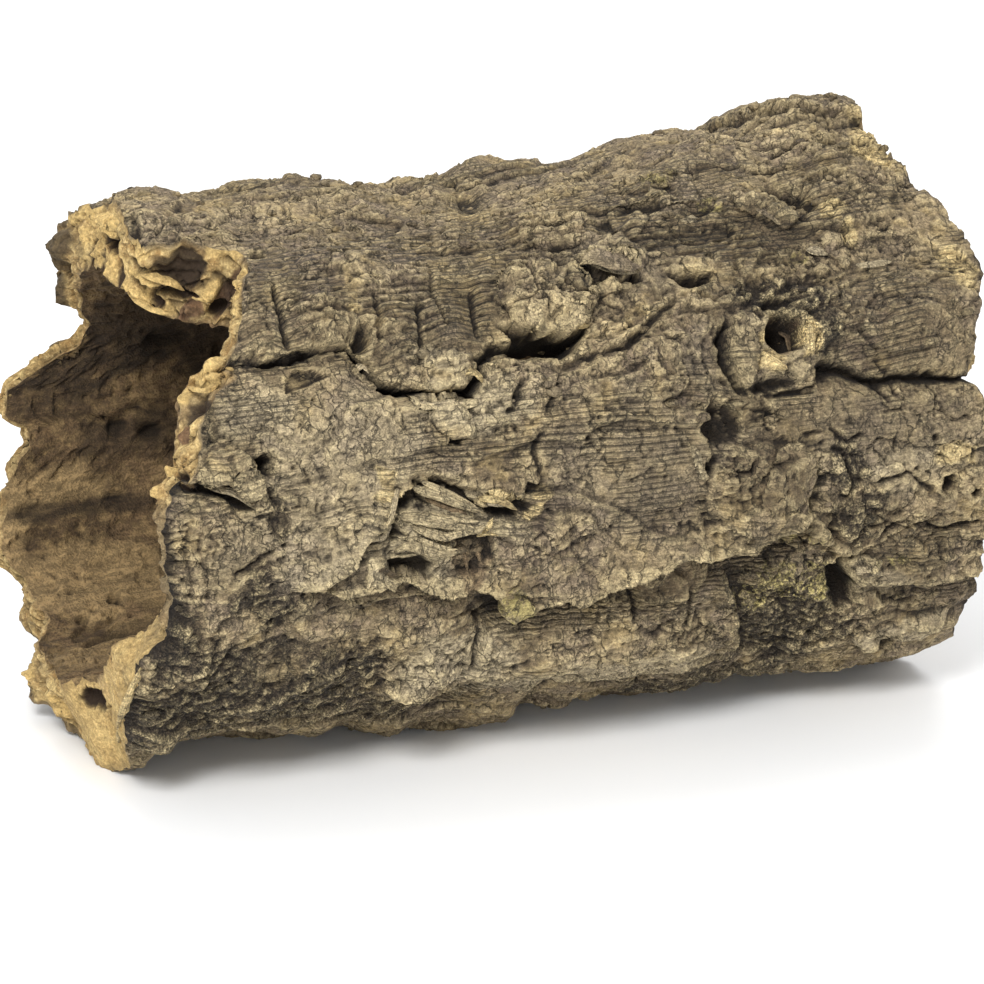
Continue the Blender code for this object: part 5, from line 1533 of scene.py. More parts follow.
def make_piece(name, grids, material):
    """A piece that rides with the tube, from grids of (points in metres, normals, marks, wraps).
    The points are (column, row, 3), and the face that rows by columns turn to is the outer one."""
    side = math.ceil(math.sqrt(len(grids)))
    faces, flats = [], []
    start = 0
    for index, (points, _, _, wraps) in enumerate(grids):
        columns, rows = points.shape[:2]
        last = columns if wraps else columns - 1
        column, row = each_pair(np.arange(last), np.arange(rows - 1))
        round_it = np.stack([column, column, column + 1, column + 1], axis=1)
        along = np.stack([row, row + 1, row + 1, row], axis=1)
        faces.append(start + round_it % columns * rows + along)
        spot = np.stack([along / (rows - 1.0), round_it / last], axis=-1)
        cell = np.array([index % side, index // side])
        flats.append((cell + (spot if side == 1 else 0.05 + 0.9 * spot)) / side)
        start += columns * rows
    corners = np.concatenate(faces)
    points, normals = (np.concatenate([grid[part].reshape(-1, 3) for grid in grids]) for part in (0, 1))
    mesh = bpy.data.meshes.new(name)
    mesh.vertices.add(len(points))
    mesh.vertices.foreach_set("co", points.astype(np.float32).ravel())
    mesh.loops.add(corners.size)
    mesh.loops.foreach_set("vertex_index", corners.astype(np.int32).ravel())
    mesh.polygons.add(len(corners))
    mesh.polygons.foreach_set("loop_start", np.arange(0, corners.size, 4, dtype=np.int32))
    mesh.update(calc_edges=True)
    flat = np.concatenate(flats).astype(np.float32)
    mesh.uv_layers.new(name="OFBake").uv.foreach_set("vector", flat.ravel())
    for mark in grids[0][2]:
        layer = mesh.attributes.new(mark, "FLOAT", "POINT")
        values = [np.broadcast_to(own[mark], spots.shape[:2]).ravel() for spots, _, own, _ in grids]
        layer.data.foreach_set("value", np.concatenate(values).astype(np.float32))
    mesh.polygons.foreach_set("use_smooth", np.ones(len(corners), bool))
    mesh.normals_split_custom_set_from_vertices(normals.tolist())
    mesh.materials.append(material)
    piece = bpy.data.objects.new(name, mesh)
    bpy.context.scene.collection.objects.link(piece)
    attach(piece, BODY)
    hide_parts(NODE)
    return piece


def make_outside(heights, material):
    """The outside, in three pieces that meet edge to edge."""
    columns, x, radius, turn, marks = outside_grid(heights)
    points = places(x, radius, turn)
    normals = grid_normals(points, wraps=True, outward=1.0)
    start = 0
    for name, count in zip(("front_lower", "front_upper", "back"), PIECE_COLUMNS):
        span = np.arange(start, start + count + 1) % len(columns)
        own = {mark: values[span] for mark, values in marks.items()}
        if start + count == len(columns):
            own["growth"][-1] += round(arc(360.0) / GROWTH_LINE_SPACING)
        make_piece("cork_bark_" + name, [(points[span], normals[span], own, False)], material)
        start += count


def make_inside(heights, material):
    """The inner face, whose faces turn to the axis."""
    columns = outside_columns()[::INSIDE_SKIP]
    rows = inside_rows()
    angle, along = each_pair(columns, rows)
    *spot, _ = wall_at(along, angle, heights, inside=True)
    x, radius, turn = (values.reshape(len(columns), len(rows)) for values in spot)
    points = places(x, radius, turn)
    hollow = radius - blurred(radius, columns, 4.0)
    spots = np.column_stack([along, arc(near(angle, 180.0)), 0.0 * along])
    ragged = 0.6 * layered_noise(spots, 16.0, 4, 245)
    # Dirt and painted shade where the inner face lies deeper
    marks = dict(crevice=smooth((hollow - 0.4) / 2.6))
    # Pale patches are partly painted light and dark ones partly painted shade
    for name, patches in (("pale", INNER_PALE_AND_LIT_PATCHES), ("dark", INNER_DARK_AND_SHADED_PATCHES)):
        marks[name] = patch_cover(along, angle, patches, ragged).reshape(radius.shape)
    normals = grid_normals(points, wraps=True, outward=-1.0)
    grid = (points[::-1], normals[::-1], {name: mark[::-1] for name, mark in marks.items()}, True)
    make_piece("cork_inner_face", [grid], material)


def left_foot_and_strips(points, angle, depth, out, hole):
    """The left end's foot, which broke off smooth and pale, and the upright strips between gaps
    painted dark with shade at its top left: how far the end stands out, its holes (painted with
    shade), and where it is straw-coloured."""
    calm = smooth((angle % 360.0 - 268.0) / 14.0) * smooth((346.0 - angle % 360.0) / 8.0)
    out = mix(out, 1.6 * layered_noise(points, 22.0, 2, 327), 0.85 * calm)
    hole = hole * (1.0 - calm)
    straw = 0.8 * calm * smooth(0.8 + layered_noise(points, 14.0, 3, 329))
    strips = smooth((angle - 80.0) / 6.0) * smooth((128.0 - angle) / 6.0) * smooth((depth - 0.28) / 0.1)
    strip = layered_noise(np.column_stack([arc(angle), depth * 5.0, 0.0 * depth]), 7.0, 3, 323)
    out = out * (1.0 - 0.6 * strips) + 4.5 * strips * strip
    hole = np.maximum(hole * (1.0 - strips), strips * smooth((-strip - 0.02) / 0.14))
    return out, hole, np.maximum(straw, 0.9 * strips * smooth(strip / 0.12))


def with_face_forms(points, angle, depth, out, marks):
    """How far the left end stands out and its marks, with its holes and lumps."""
    fringe = 0.22 * layered_noise(points, 5.0, 3, 337)
    for form in FACE_FORMS.values():
        off_angle = arc(near(angle, form["at"][0]) - form["at"][0]) * 0.85
        off_depth = (depth - form["at"][1]) * (WALL_THICKNESS + 5.0)
        reach = np.hypot(off_angle / form["half"][0], off_depth / form["half"][1]) + fringe
        out = out - form["depth"] * smooth((1.3 - reach) / 0.7)
        cover = smooth((1.25 - reach) / 0.3)
        painted = np.maximum(marks[form["paint"]], cover)
        marks = {name: mark * (1.0 - cover) for name, mark in marks.items()}
        marks[form["paint"]] = painted
    return out, marks


def end_relief(points, angle, depth, left, heights):
    """How far the broken end stands out of the plain slope from bark to inner face, in mm, and
    the marks that its finish goes by."""
    layers = depth * 24.0 / END_LAYER + 1.3 * layered_noise(points, 16.0, 3, 307)
    share = layers - np.floor(layers)
    this_reach, next_reach = (
        layered_noise(np.column_stack([layer * 37.0, points[:, 1:]]), 13.0, 3, 311)
        for layer in (np.floor(layers), np.floor(layers) + 1.0)
    )
    out = heights.end * mix(this_reach, next_reach, smooth((share - 0.7) / 0.3))
    out += 1.1 * (smooth(share / 0.6) * (1.0 - smooth((share - 0.7) / 0.3)) - 0.5)
    out += 1.5 * layered_noise(points, 9.0, 3, 317)
    out += 0.2 * noise(points, 1.6, 319)
    hole = pits(points[:, 1] * 1.7, depth * 60.0 + angle * 4.0 % 360.0, 9.0, 0.62, 0.34, 0.0, 331)
    out -= 4.0 * hole
    none = np.zeros(len(angle))
    # sunk marks the holes, which are painted with shade
    marks = dict(sunk=hole, straw=none, red=none, bark=none)
    if left:
        out, marks["sunk"], marks["straw"] = left_foot_and_strips(points, angle, depth, out, hole)
        out, marks = with_face_forms(points, angle, depth, out, marks)
    return out * smooth(np.minimum(depth, 1.0 - depth) / 0.1), marks


def make_end(name, columns, outer, inner, left, rows, heights, material):
    """One broken end, from the places of the outside's and the inside's edges."""
    share = np.linspace(0.0, 1.0, rows)
    depth = smooth(share) * 0.4 + share * 0.6
    x, radius, turn = (mix(out[:, None], within[:, None], depth) for out, within in zip(outer, inner))
    angle = np.repeat(columns, rows)
    flat_depth = np.tile(depth, len(columns))
    spot = np.column_stack([x.ravel(), -(radius * np.cos(turn)).ravel(), (radius * np.sin(turn)).ravel()])
    out, marks = end_relief(spot, angle, flat_depth, left, heights)
    shape = (len(columns), rows)
    marks = {mark: values.reshape(shape) for mark, values in marks.items()}
    facing = -1.0 if left else 1.0
    flat = grid_normals(places(x, radius, turn), wraps=True, outward=facing)
    for _ in range(6):
        flat = flat + np.roll(flat, 1, axis=0) + np.roll(flat, -1, axis=0)
        flat[:, 1:-1] = flat[:, 1:-1] + flat[:, :-2] + flat[:, 2:]
        flat /= np.linalg.norm(flat, axis=-1, keepdims=True)
    points = on_floor(places(x, radius, turn) + flat * out.reshape(*shape, 1) * MM)
    # The inside has only every second column, so the end's other columns meet it half way
    points[1::2, -1] = 0.5 * (points[0::2, -1] + np.roll(points[0::2, -1], -1, axis=0))
    marks["depth"] = np.broadcast_to(depth, shape)
    marks["fresh"] = read_line(FRESH_LINE if left else WORN_LINE, angle % 360.0).reshape(shape)
    # Painted shade, with dirt, where the broken face stands in
    marks["crevice"] = smooth(-(out - 1.0) / 4.0).reshape(shape)
    normals = grid_normals(points, wraps=True, outward=facing)
    turned = slice(None, None, -1 if left else 1)
    marks = {mark: values[turned] for mark, values in marks.items()}
    make_piece(name, [(points[turned], normals[turned], marks, True)], material)


def make_ends(heights, material):
    columns, *outside, _ = outside_grid(heights)
    for name, left, rows in (
        ("cork_left_end", True, LEFT_END_ROWS), ("cork_right_end", False, RIGHT_END_ROWS),
    ):
        at = np.full(len(columns), 0.0 if left else LENGTH)
        inner = wall_at(at, columns, heights, inside=True)[:3]
        outer = [field[:, 0 if left else -1] for field in outside]
        make_end(name, columns, outer, inner, left, rows, heights, material)


def as_units(vectors):
    return vectors / np.maximum(np.linalg.norm(vectors, axis=-1, keepdims=True), 1e-9)


def surface_noise(across, along, third, seed):
    """Noise over a splinter's surface, for three fields of it that broadcast together."""
    fields = np.stack(np.broadcast_arrays(across, along, third), axis=-1)
    return layered_noise(fields.reshape(-1, 3), 1.0, 2, seed).reshape(fields.shape[:-1])


def sliver(line, thick, number, sharpest=0.05):
    """A splinter or strip round its middle line: its surface in metres, its normals, how far
    each place lies across it in mm, how far it lies below its edges, and its share of the way to
    the tip."""
    x, angle, lift, half = np.array(line, float).T
    turn, radius = np.radians(angle), OUTER_RADIUS + lift
    corners = np.column_stack([x, -radius * np.cos(turn), radius * np.sin(turn), half])
    run = np.append(0.0, np.cumsum(np.linalg.norm(np.diff(corners[:, :3], axis=0), axis=1)))
    share = np.linspace(0.0, 1.0, SLIVER_ROWS)
    middle = np.column_stack([np.interp(share * run[-1], run, column) for column in corners.T])
    for _ in range(12):
        middle[1:-1] = 0.25 * (middle[:-2] + 2.0 * middle[1:-1] + middle[2:])
    middle, half = middle[:, :3], middle[:, 3]
    ahead = as_units(np.gradient(middle, axis=0))
    out = as_units(middle * (0.0, 1.0, 1.0))
    across = as_units(np.cross(out, ahead))
    out = np.cross(ahead, across)
    phase = np.arange(SLIVER_COLUMNS) * (2.0 * math.pi / SLIVER_COLUMNS)
    u, v = np.cos(phase)[:, None], -np.sin(phase)[:, None]
    taper = np.sqrt(np.clip(np.minimum(share / 0.06, (1.0 - share) / 0.14), sharpest**2, 1.0))
    fibre = surface_noise(u * half / 0.8, share * run[-1] / 9.0, 0.4 * v + 5.3 * number, 401)
    bend = surface_noise(0.4 * u, share * run[-1] / 5.0, 7.1 * number, 409)
    ragged = surface_noise(2.6 * u, 3.7 * number, v, 419)
    wide = half * taper * u * (1.0 + 0.18 * bend)
    high = taper * (0.5 * thick * v * (1.0 - 0.75 * np.abs(u) ** 3) + 0.3 * fibre + 0.5 * bend)
    longer = 2.2 * ragged * share**4
    spots = middle + wide[..., None] * across + high[..., None] * out + longer[..., None] * ahead
    points = on_floor((spots - ORIGIN) * MM)
    below = smooth(-0.2 - v) * np.ones(share.size)
    return points, grid_normals(points, wraps=True, outward=1.0), wide, below, share


def make_slivers(material):
    """The splinters and slivers of bark, streaked along their length."""
    grids = []
    for number, strip in enumerate(SLIVERS.values()):
        points, normals, wide, below, share = sliver(strip["line"], strip["thick"], number)
        marks = dict.fromkeys(("pale", "torn", "dark", "crust", "grey", "brown", "splinter"), 0.0)
        marks[strip["paint"]] = 0.9
        # Painted shade, with dirt, on each splinter's underside and at its root, and wear and a painted
        # highlight towards its tip
        marks.update(
            growth=wide / 0.8 + 50.0, lined=0.2, tone=0.35 + 0.3 * (number % 3),
            crevice=np.maximum(0.75 * below, 0.6 * smooth(1.0 - share / 0.12)),
            worn=0.5 * smooth((share - 0.6) / 0.4),
        )
        grids.append((points, normals, marks, True))
    make_piece("cork_splinters", grids, material)


def make_strands(material):
    """The pale strands and curls of the broken left end."""
    grids = []
    for number, strip in enumerate(STRANDS.values()):
        points, normals, _, below, share = sliver(strip["line"], strip["thick"], 50 + number)
        # Painted shade, with dirt, on each strand's underside and at its root
        crevice = np.maximum(0.7 * below, 0.5 * smooth(1.0 - share / 0.1))
        grids.append((points, normals, dict(depth=0.5, fresh=1.0, straw=0.8, crevice=crevice), True))
    make_piece("cork_end_strands", grids, material)


def crumb_shapes():
    """Lumpy crumbs, each a ball of about radius 1 that is longest along the bark."""
    phase = np.arange(CRUMB_COLUMNS)[:, None] * (2.0 * math.pi / CRUMB_COLUMNS)
    tilt = np.linspace(0.02, math.pi - 0.02, CRUMB_ROWS)
    ball = np.stack([
        -np.cos(tilt) * np.ones_like(phase), np.sin(tilt) * np.cos(phase), -np.sin(tilt) * np.sin(phase),
    ], axis=-1)
    lumps = (ball + 9.0 * np.arange(CRUMBS)[:, None, None, None]).reshape(-1, 3)
    swell = 1.0 + 0.55 * noise(lumps, 0.9, 433).reshape(CRUMBS, *ball.shape[:2], 1)
    return swell * ball * (1.35, 1.0, 0.85)


def make_crumbs(heights, material):
    """Loose crumbs of bark, half sunk where the bark is crusty or broken, with lichen tufts."""
    columns, x, radius, turn, marks = outside_grid(heights)
    chance = 0.04 + 0.7 * marks["crust"] + 0.9 * marks["rough"] + 2.5 * marks["lichen"]
    chance += 0.5 * np.exp(-(((columns[:, None] - 92.0) / 9.0) ** 2))
    dice = np.random.default_rng(431)
    picked = dice.choice(chance.size, CRUMBS, replace=False, p=chance.ravel() / chance.sum())
    around = places(x, radius, turn)
    out = grid_normals(around, wraps=True, outward=1.0).reshape(-1, 3)[picked]
    size = MM * (0.6 + 1.5 * dice.random(CRUMBS) ** 2)
    centre = around.reshape(-1, 3)[picked] + 0.15 * size[:, None] * out
    spots = on_floor(centre[:, None, None] + size[:, None, None, None] * crumb_shapes())
    flat = {name: mark.ravel() for name, mark in marks.items() if name not in ("growth", "lined", "pit")}
    grids = []
    for points, at in zip(spots, picked):
        own = {name: mark[at] for name, mark in flat.items()}
        own["tone"] = dice.random()
        # A random share of dirt and painted shade, and of wear and a painted highlight, for each crumb
        own["crevice"] = 0.15 + 0.35 * dice.random() * (1.0 - own["lichen"])
        own["worn"] = 0.5 * dice.random()
        grids.append((points, grid_normals(points, wraps=True, outward=1.0), own, True))
    make_piece("cork_crumbs", grids, material)


def heights_in_mm(sizes):
    """The heights of the panel, in millimetres."""
    names = ("growth_line_height", "flake_height", "crust_height", "end_roughness")
    return Heights(*(getattr(sizes, name) / MM for name in names))


def linear_colour(code):
    """The linear RGBA of an sRGB hex colour."""
    shares = [int(code[at : at + 2], 16) / 255.0 for at in (1, 3, 5)]
    linear = [share / 12.92 if share <= 0.04045 else ((share + 0.055) / 1.055) ** 2.4 for share in shares]
    return (*linear, 1.0)


def add_node(tree, kind, inputs=None, **settings):
    """A shader node with its settings. inputs gives values, hex colours, or the nodes or sockets
    to link, by input."""
    node = tree.nodes.new("ShaderNode" + kind)
    for setting, value in settings.items():
        setattr(node, setting, value)
    for key, value in (inputs or {}).items():
        if isinstance(value, bpy.types.Node):
            value = next(socket for socket in value.outputs if socket.enabled)
        if isinstance(value, bpy.types.NodeSocket):
            tree.links.new(value, node.inputs[key])
        else:
            node.inputs[key].default_value = linear_colour(value) if isinstance(value, str) else value
    return node


def new_material(name, marks=()):
    """A material of that name with its node tree, the places on the object and the marks of the
    mesh, as sockets."""
    material = bpy.data.materials.new(name)
    material.use_nodes = True
    tree = material.node_tree
    tree.nodes.clear()
    where = add_node(tree, "TexCoord").outputs["Object"]
    mark = {own: add_node(tree, "Attribute", attribute_name=own).outputs["Fac"] for own in marks}
    return material, tree, where, mark


def painted(tree, colour, layers):
    """A colour with others laid over it. Each layer is where it lies, how strongly, its colour."""
    for where, strength, paint in layers:
        cover = add_node(tree, "Math", {0: where, 1: strength}, operation="MULTIPLY")
        colour = add_node(tree, "Mix", {0: cover, 6: colour, 7: paint}, data_type="RGBA")
    return colour


def shaded(tree, colour, shades):
    """A colour made darker and paler. Each shade is a field, two values of it, and how bright it
    leaves the colour at the first and at the second."""
    for field, low, high, at_low, at_high in shades:
        shade = add_node(
            tree, "MapRange",
            {"Value": field, "From Min": low, "From Max": high, "To Min": at_low, "To Max": at_high},
        )
        colour = add_node(
            tree, "Mix", {0: 1.0, 6: colour, 7: shade}, data_type="RGBA", blend_type="MULTIPLY",
        )
    return colour


def add_surface(tree, colour, roughness, relief, depth, strength=1.0):
    """The surface of bark or cork, whose relief is depth metres high where it differs by 1."""
    bump = add_node(tree, "Bump", {"Height": relief, "Strength": strength, "Distance": depth})
    inputs = {"Base Color": colour, "Roughness": roughness, "Normal": bump, "IOR": CORK_IOR}
    shader = add_node(tree, "BsdfPrincipled", inputs)
    add_node(tree, "OutputMaterial", {"Surface": shader})


def bark_patterns(tree, where):
    """The noise of the bark's finish: blotches of 40 mm, hues of 15 mm, patches of 9 mm, streaks
    1.4 mm wide that run along the bark, fibres 0.7 mm wide, grit of 2 mm and specks of 0.8 mm."""
    field = {}
    for name, stretch, scale, detail, roughness in (
        ("blotch", 1.0, 25.0, 5.0, 0.62), ("hue", 1.0, 66.0, 4.0, 0.6), ("patch", 1.0, 110.0, 4.0, 0.65),
        ("streak", 0.18, 700.0, 3.0, 0.7), ("fibre", 0.1, 1500.0, 2.0, 0.6),
        ("grit", 1.0, 480.0, 3.0, 0.7), ("speck", 1.0, 1250.0, 2.0, 0.7),
    ):
        drawn = add_node(tree, "Mapping", {"Vector": where, "Scale": (stretch, 1.0, 1.0)})
        field[name] = add_node(
            tree, "TexNoise", {"Vector": drawn, "Scale": scale, "Detail": detail, "Roughness": roughness},
        )
    return field


def pattern_shares(tree, field):
    """How much of some patterns shows, from none to all, between two of their values."""
    share = {}
    for name, source, low, high in (
        ("tone", "blotch", 0.38, 0.6), ("mottle", "patch", 0.4, 0.66), ("mauve", "hue", 0.5, 0.62),
        ("ochre", "hue", 0.46, 0.36), ("cracked", "patch", 0.44, 0.56), ("fine_cracked", "hue", 0.4, 0.56),
    ):
        share[name] = add_node(
            tree, "MapRange", {"Value": field[source], "From Min": low, "From Max": high},
            interpolation_type="SMOOTHSTEP",
        )
    return share


def painted_cracks(tree, where, share):
    """Fine cracks round plates of 7 mm and of 3 mm, drawn ragged."""
    ragged = add_node(tree, "TexNoise", {"Vector": where, "Scale": 260.0, "Detail": 3.0})
    ragged = add_node(tree, "VectorMath", {0: ragged.outputs["Color"], 3: 0.007}, operation="SCALE")
    ragged = add_node(tree, "VectorMath", {0: where, 1: ragged}, operation="ADD")
    cracks = {}
    for name, where_cracked, scale, wide in (
        ("crack", "cracked", 140.0, 0.04), ("fine_crack", "fine_cracked", 330.0, 0.05),
    ):
        drawn = add_node(tree, "Mapping", {"Vector": ragged, "Scale": (1.0, 0.6, 0.6)})
        edge = add_node(tree, "TexVoronoi", {"Vector": drawn, "Scale": scale}, feature="DISTANCE_TO_EDGE")
        gap = add_node(
            tree, "MapRange",
            {"Value": edge.outputs["Distance"], "From Max": wide, "To Min": 1.0, "To Max": 0.0},
        )
        cracks[name] = add_node(tree, "Math", {0: gap, 1: share[where_cracked]}, operation="MULTIPLY")
    return cracks


def painted_growth_lines(tree, grit, mark):
    """The growth lines, each with a dark groove, and a finer set between them."""
    lines = {}
    for name, times, low, high in (("line", 1.0, 0.6, 0.94), ("thin_line", 3.0, 0.5, 0.95)):
        count = add_node(tree, "Math", {0: grit, 1: 0.5, 2: mark["growth"]}, operation="MULTIPLY_ADD")
        count = add_node(tree, "Math", {0: count, 1: times}, operation="MULTIPLY")
        count = add_node(tree, "Math", {0: count}, operation="FRACT")
        groove = add_node(
            tree, "MapRange", {"Value": count, "From Min": low, "From Max": high},
            interpolation_type="SMOOTHSTEP",
        )
        lines[name] = add_node(tree, "Math", {0: groove, 1: mark["lined"]}, operation="MULTIPLY")
    return lines


def weathered_bark(colours):
    """Virgin cork bark: the corky outer bark of the cork oak, split and weathered for years on the
    tree. The eye sees a dull grey-brown, striped lengthwise by its yearly growth lines and
    yellow-green where lichen grows. It is nearly black in its cracks and folds from dirt and painted
    shade, darker under its ledges and in its hollows from painted shade, pale in patches partly from
    painted light, and pale on its raised edges from wear and a painted highlight."""
    names = "crevice worn dark crust pale torn grey lichen growth lined tone splinter brown pit"
    material, tree, where, mark = new_material(BARK_FINISH, names.split())
    field = bark_patterns(tree, where)
    share = pattern_shares(tree, field)
    field.update(painted_cracks(tree, where, share))
    field.update(painted_growth_lines(tree, field["grit"], mark))
    # Torn cork and splinters are drawn in streaks too
    torn, splinter = (
        add_node(tree, "Mix", {0: field["streak"], 6: dark, 7: pale}, data_type="RGBA")
        for dark, pale in ((TORN_DARK, TORN_PALE), (SPLINTER_DARK, SPLINTER_LIGHT))
    )
    tufts = add_node(tree, "Math", {0: field["grit"], 1: field["patch"]}, operation="ADD")
    tufts = add_node(
        tree, "MapRange", {"Value": tufts, "From Min": 0.92, "From Max": 1.12, "To Max": 0.75},
        interpolation_type="SMOOTHSTEP",
    )
    # Of these layers, pale is partly painted light, dark partly painted shade under ledges and in hollows,
    # and the pale edge layer partly a painted highlight on raised edges
    colour = painted(tree, DARK_BARK, (
        (share["tone"], 1.0, colours.bark), (share["mottle"], 1.0, colours.light_bark),
        (share["mauve"], 0.35, MAUVE_BARK), (share["ochre"], 0.45, OCHRE_BARK),
        (mark["grey"], 0.45, GREY_BARK), (mark["pale"], 0.6, PALE_AND_LIT_BARK), (mark["dark"], 0.8, DEEP_BARK_AND_SHADE),
        (mark["crust"], 0.85, CRUST), (mark["worn"], 0.5, WORN_AND_HIGHLIGHT_BARK), (mark["brown"], 0.7, BROWN_WOOD),
        (mark["splinter"], 0.85, splinter), (mark["torn"], 0.75, torn),
        (tufts, mark["lichen"], colours.lichen),
    ))
    colour = shaded(tree, colour, (
        (field["line"], 0.0, 1.0, 1.42, 0.67), (field["thin_line"], 0.0, 1.0, 1.0, 0.8),
        (field["streak"], 0.36, 0.64, 0.84, 1.14), (field["fibre"], 0.36, 0.64, 0.88, 1.12),
        (field["grit"], 0.4, 0.6, 0.78, 1.2), (field["speck"], 0.42, 0.58, 0.78, 1.22),
        (mark["tone"], 0.0, 1.0, 0.72, 1.24), (mark["pit"], 0.0, 1.0, 1.0, 0.45),
        (field["crack"], 0.0, 1.0, 1.0, 0.5), (field["fine_crack"], 0.0, 1.0, 1.0, 0.5),
    ))
    # Crumbs of the crust, nearly black beside nearly white
    crumbs = add_node(
        tree, "MapRange",
        {"Value": field["speck"], "From Min": 0.42, "From Max": 0.62, "To Min": 0.6, "To Max": 1.6},
    )
    colour = add_node(
        tree, "Mix", {0: mark["crust"], 6: colour, 7: crumbs}, data_type="RGBA", blend_type="MULTIPLY",
    )
    # Dirt and painted shade in the cracks and folds
    colour = painted(tree, colour, ((mark["crevice"], 0.94, colours.crevice),))
    # The finest relief, of a few tenths of a millimetre
    relief = 0.0
    for name, height in (
        ("line", -1.9), ("thin_line", -0.4), ("crack", -1.2), ("fine_crack", -0.5), ("streak", 0.5),
        ("fibre", 0.4), ("grit", 0.75), ("speck", 0.6),
    ):
        relief = add_node(tree, "Math", {0: field[name], 1: height, 2: relief}, operation="MULTIPLY_ADD")
    # Dull all over, but the crust has specks that glint
    glint = add_node(tree, "Math", {0: mark["crust"], 1: -0.3, 2: 0.92}, operation="MULTIPLY_ADD")
    dull = add_node(
        tree, "MapRange",
        {"Value": field["speck"], "From Min": 0.54, "From Max": 0.62, "To Min": 0.92, "To Max": glint},
    )
    add_surface(tree, colour, dull, relief, 0.0012)
    return material


def bark_finish(colours):
    """The bark's own material, made once for all the pieces that have it."""
    return bpy.data.materials.get(BARK_FINISH) or weathered_bark(colours)


def inner_bark(colours):
    """The inner face of stripped cork: the bast side, pulled off the living wood and dried. The
    eye sees a warm, matt brown, mottled darker, with grit and short lengthwise marks. Painted shade
    darkens its hollows, much of its roof and its cracks, and painted light brightens much of its floor."""
    material, tree, where, mark = new_material("stripped_inner_bark", ("crevice", "pale", "dark"))
    # Mottling of 25 mm and 5 mm, marks 2 mm wide along the bark, grit of 0.8 mm
    blotch = add_node(tree, "TexNoise", {"Vector": where, "Scale": 40.0, "Detail": 5.0, "Roughness": 0.6})
    mottle = add_node(
        tree, "TexNoise", {"Vector": where, "Scale": 200.0, "Detail": 4.0, "Roughness": 0.68},
    )
    drawn = add_node(tree, "Mapping", {"Vector": where, "Scale": (0.25, 1.0, 1.0)})
    streak = add_node(tree, "TexNoise", {"Vector": drawn, "Scale": 500.0, "Detail": 3.0})
    speck = add_node(tree, "TexNoise", {"Vector": where, "Scale": 1250.0, "Detail": 2.0})
    tone = add_node(tree, "MapRange", {"Value": blotch, "From Min": 0.36, "From Max": 0.64})
    patches = add_node(
        tree, "MapRange", {"Value": mottle, "From Min": 0.44, "From Max": 0.68, "To Max": 0.7},
    )
    colour = painted(tree, INNER_DARK, (
        (tone, 1.0, colours.inner_bark), (patches, 1.0, INNER_LIGHT), (mark["pale"], 0.6, INNER_PALE_AND_LIT),
        (mark["dark"], 0.8, INNER_DEEP_AND_SHADE),
    ))
    grit = add_node(tree, "Math", {0: streak, 1: speck}, operation="ADD")
    grit = add_node(
        tree, "MapRange",
        {"Value": grit, "From Min": 0.84, "From Max": 1.16, "To Min": 0.66, "To Max": 1.34},
    )
    colour = add_node(tree, "Mix", {0: 1.0, 6: colour, 7: grit}, data_type="RGBA", blend_type="MULTIPLY")
    # Dirt and painted shade in the hollows
    colour = painted(tree, colour, ((mark["crevice"], 0.9, colours.crevice),))
    add_surface(tree, colour, 0.95, grit, 0.001, strength=0.6)
    return material


def broken_cork(colours):
    """Fresh cork where the bark was broken off: layers of pale tan cork cells between thin dark
    yearly bands. The eye sees straw and tan, red-brown in the holes, greyed where it is old. Painted
    shade makes its holes and recesses nearly black."""
    names = "crevice depth sunk straw red bark fresh"
    material, tree, where, mark = new_material("broken_cork", names.split())
    # Patches of 8 mm, grain of 2 mm and 0.7 mm
    patch = add_node(tree, "TexNoise", {"Vector": where, "Scale": 125.0, "Detail": 4.0, "Roughness": 0.65})
    grain = add_node(tree, "TexNoise", {"Vector": where, "Scale": 480.0, "Detail": 3.0, "Roughness": 0.7})
    speck = add_node(tree, "TexNoise", {"Vector": where, "Scale": 1400.0, "Detail": 2.0})
    tone = add_node(tree, "MapRange", {"Value": patch, "From Min": 0.36, "From Max": 0.62})
    pale = add_node(tree, "MapRange", {"Value": grain, "From Min": 0.5, "From Max": 0.72, "To Max": 0.7})
    # Old, greyed breaks, and the weathered rim of the bark itself
    aged = add_node(tree, "MapRange", {"Value": mark["fresh"], "To Min": 0.92, "To Max": 0.0})
    skin = add_node(
        tree, "MapRange",
        {"Value": mark["depth"], "From Min": 0.02, "From Max": 0.12, "To Min": 0.85, "To Max": 0.0},
    )
    aged = add_node(tree, "Math", {0: aged, 1: skin}, operation="MAXIMUM")
    inner = add_node(tree, "MapRange", {"Value": mark["depth"], "From Min": 0.88, "To Max": 0.7})
    colour = painted(tree, TORN_DARK, (
        (tone, 1.0, colours.torn_cork), (pale, 1.0, TORN_LIGHT), (aged, 1.0, OLD_BREAK),
        (inner, 1.0, colours.inner_bark), (mark["straw"], 0.75, STRAW), (mark["red"], 0.8, RED_LAYER),
        (mark["bark"], 0.9, DEEP_BARK_AND_SHADE),
    ))
    colour = shaded(tree, colour, ((grain, 0.34, 0.66, 0.66, 1.25), (speck, 0.32, 0.68, 0.76, 1.2)))
    # Painted shade in the broken face's recesses and holes
    colour = painted(tree, colour, ((mark["crevice"], 0.85, HOLLOW_SHADE), (mark["sunk"], 0.95, HOLLOW_SHADE)))
    relief = add_node(tree, "Math", {0: speck, 1: 0.5, 2: grain}, operation="MULTIPLY_ADD")
    add_surface(tree, colour, 0.9, relief, 0.0012, strength=0.7)
    return material


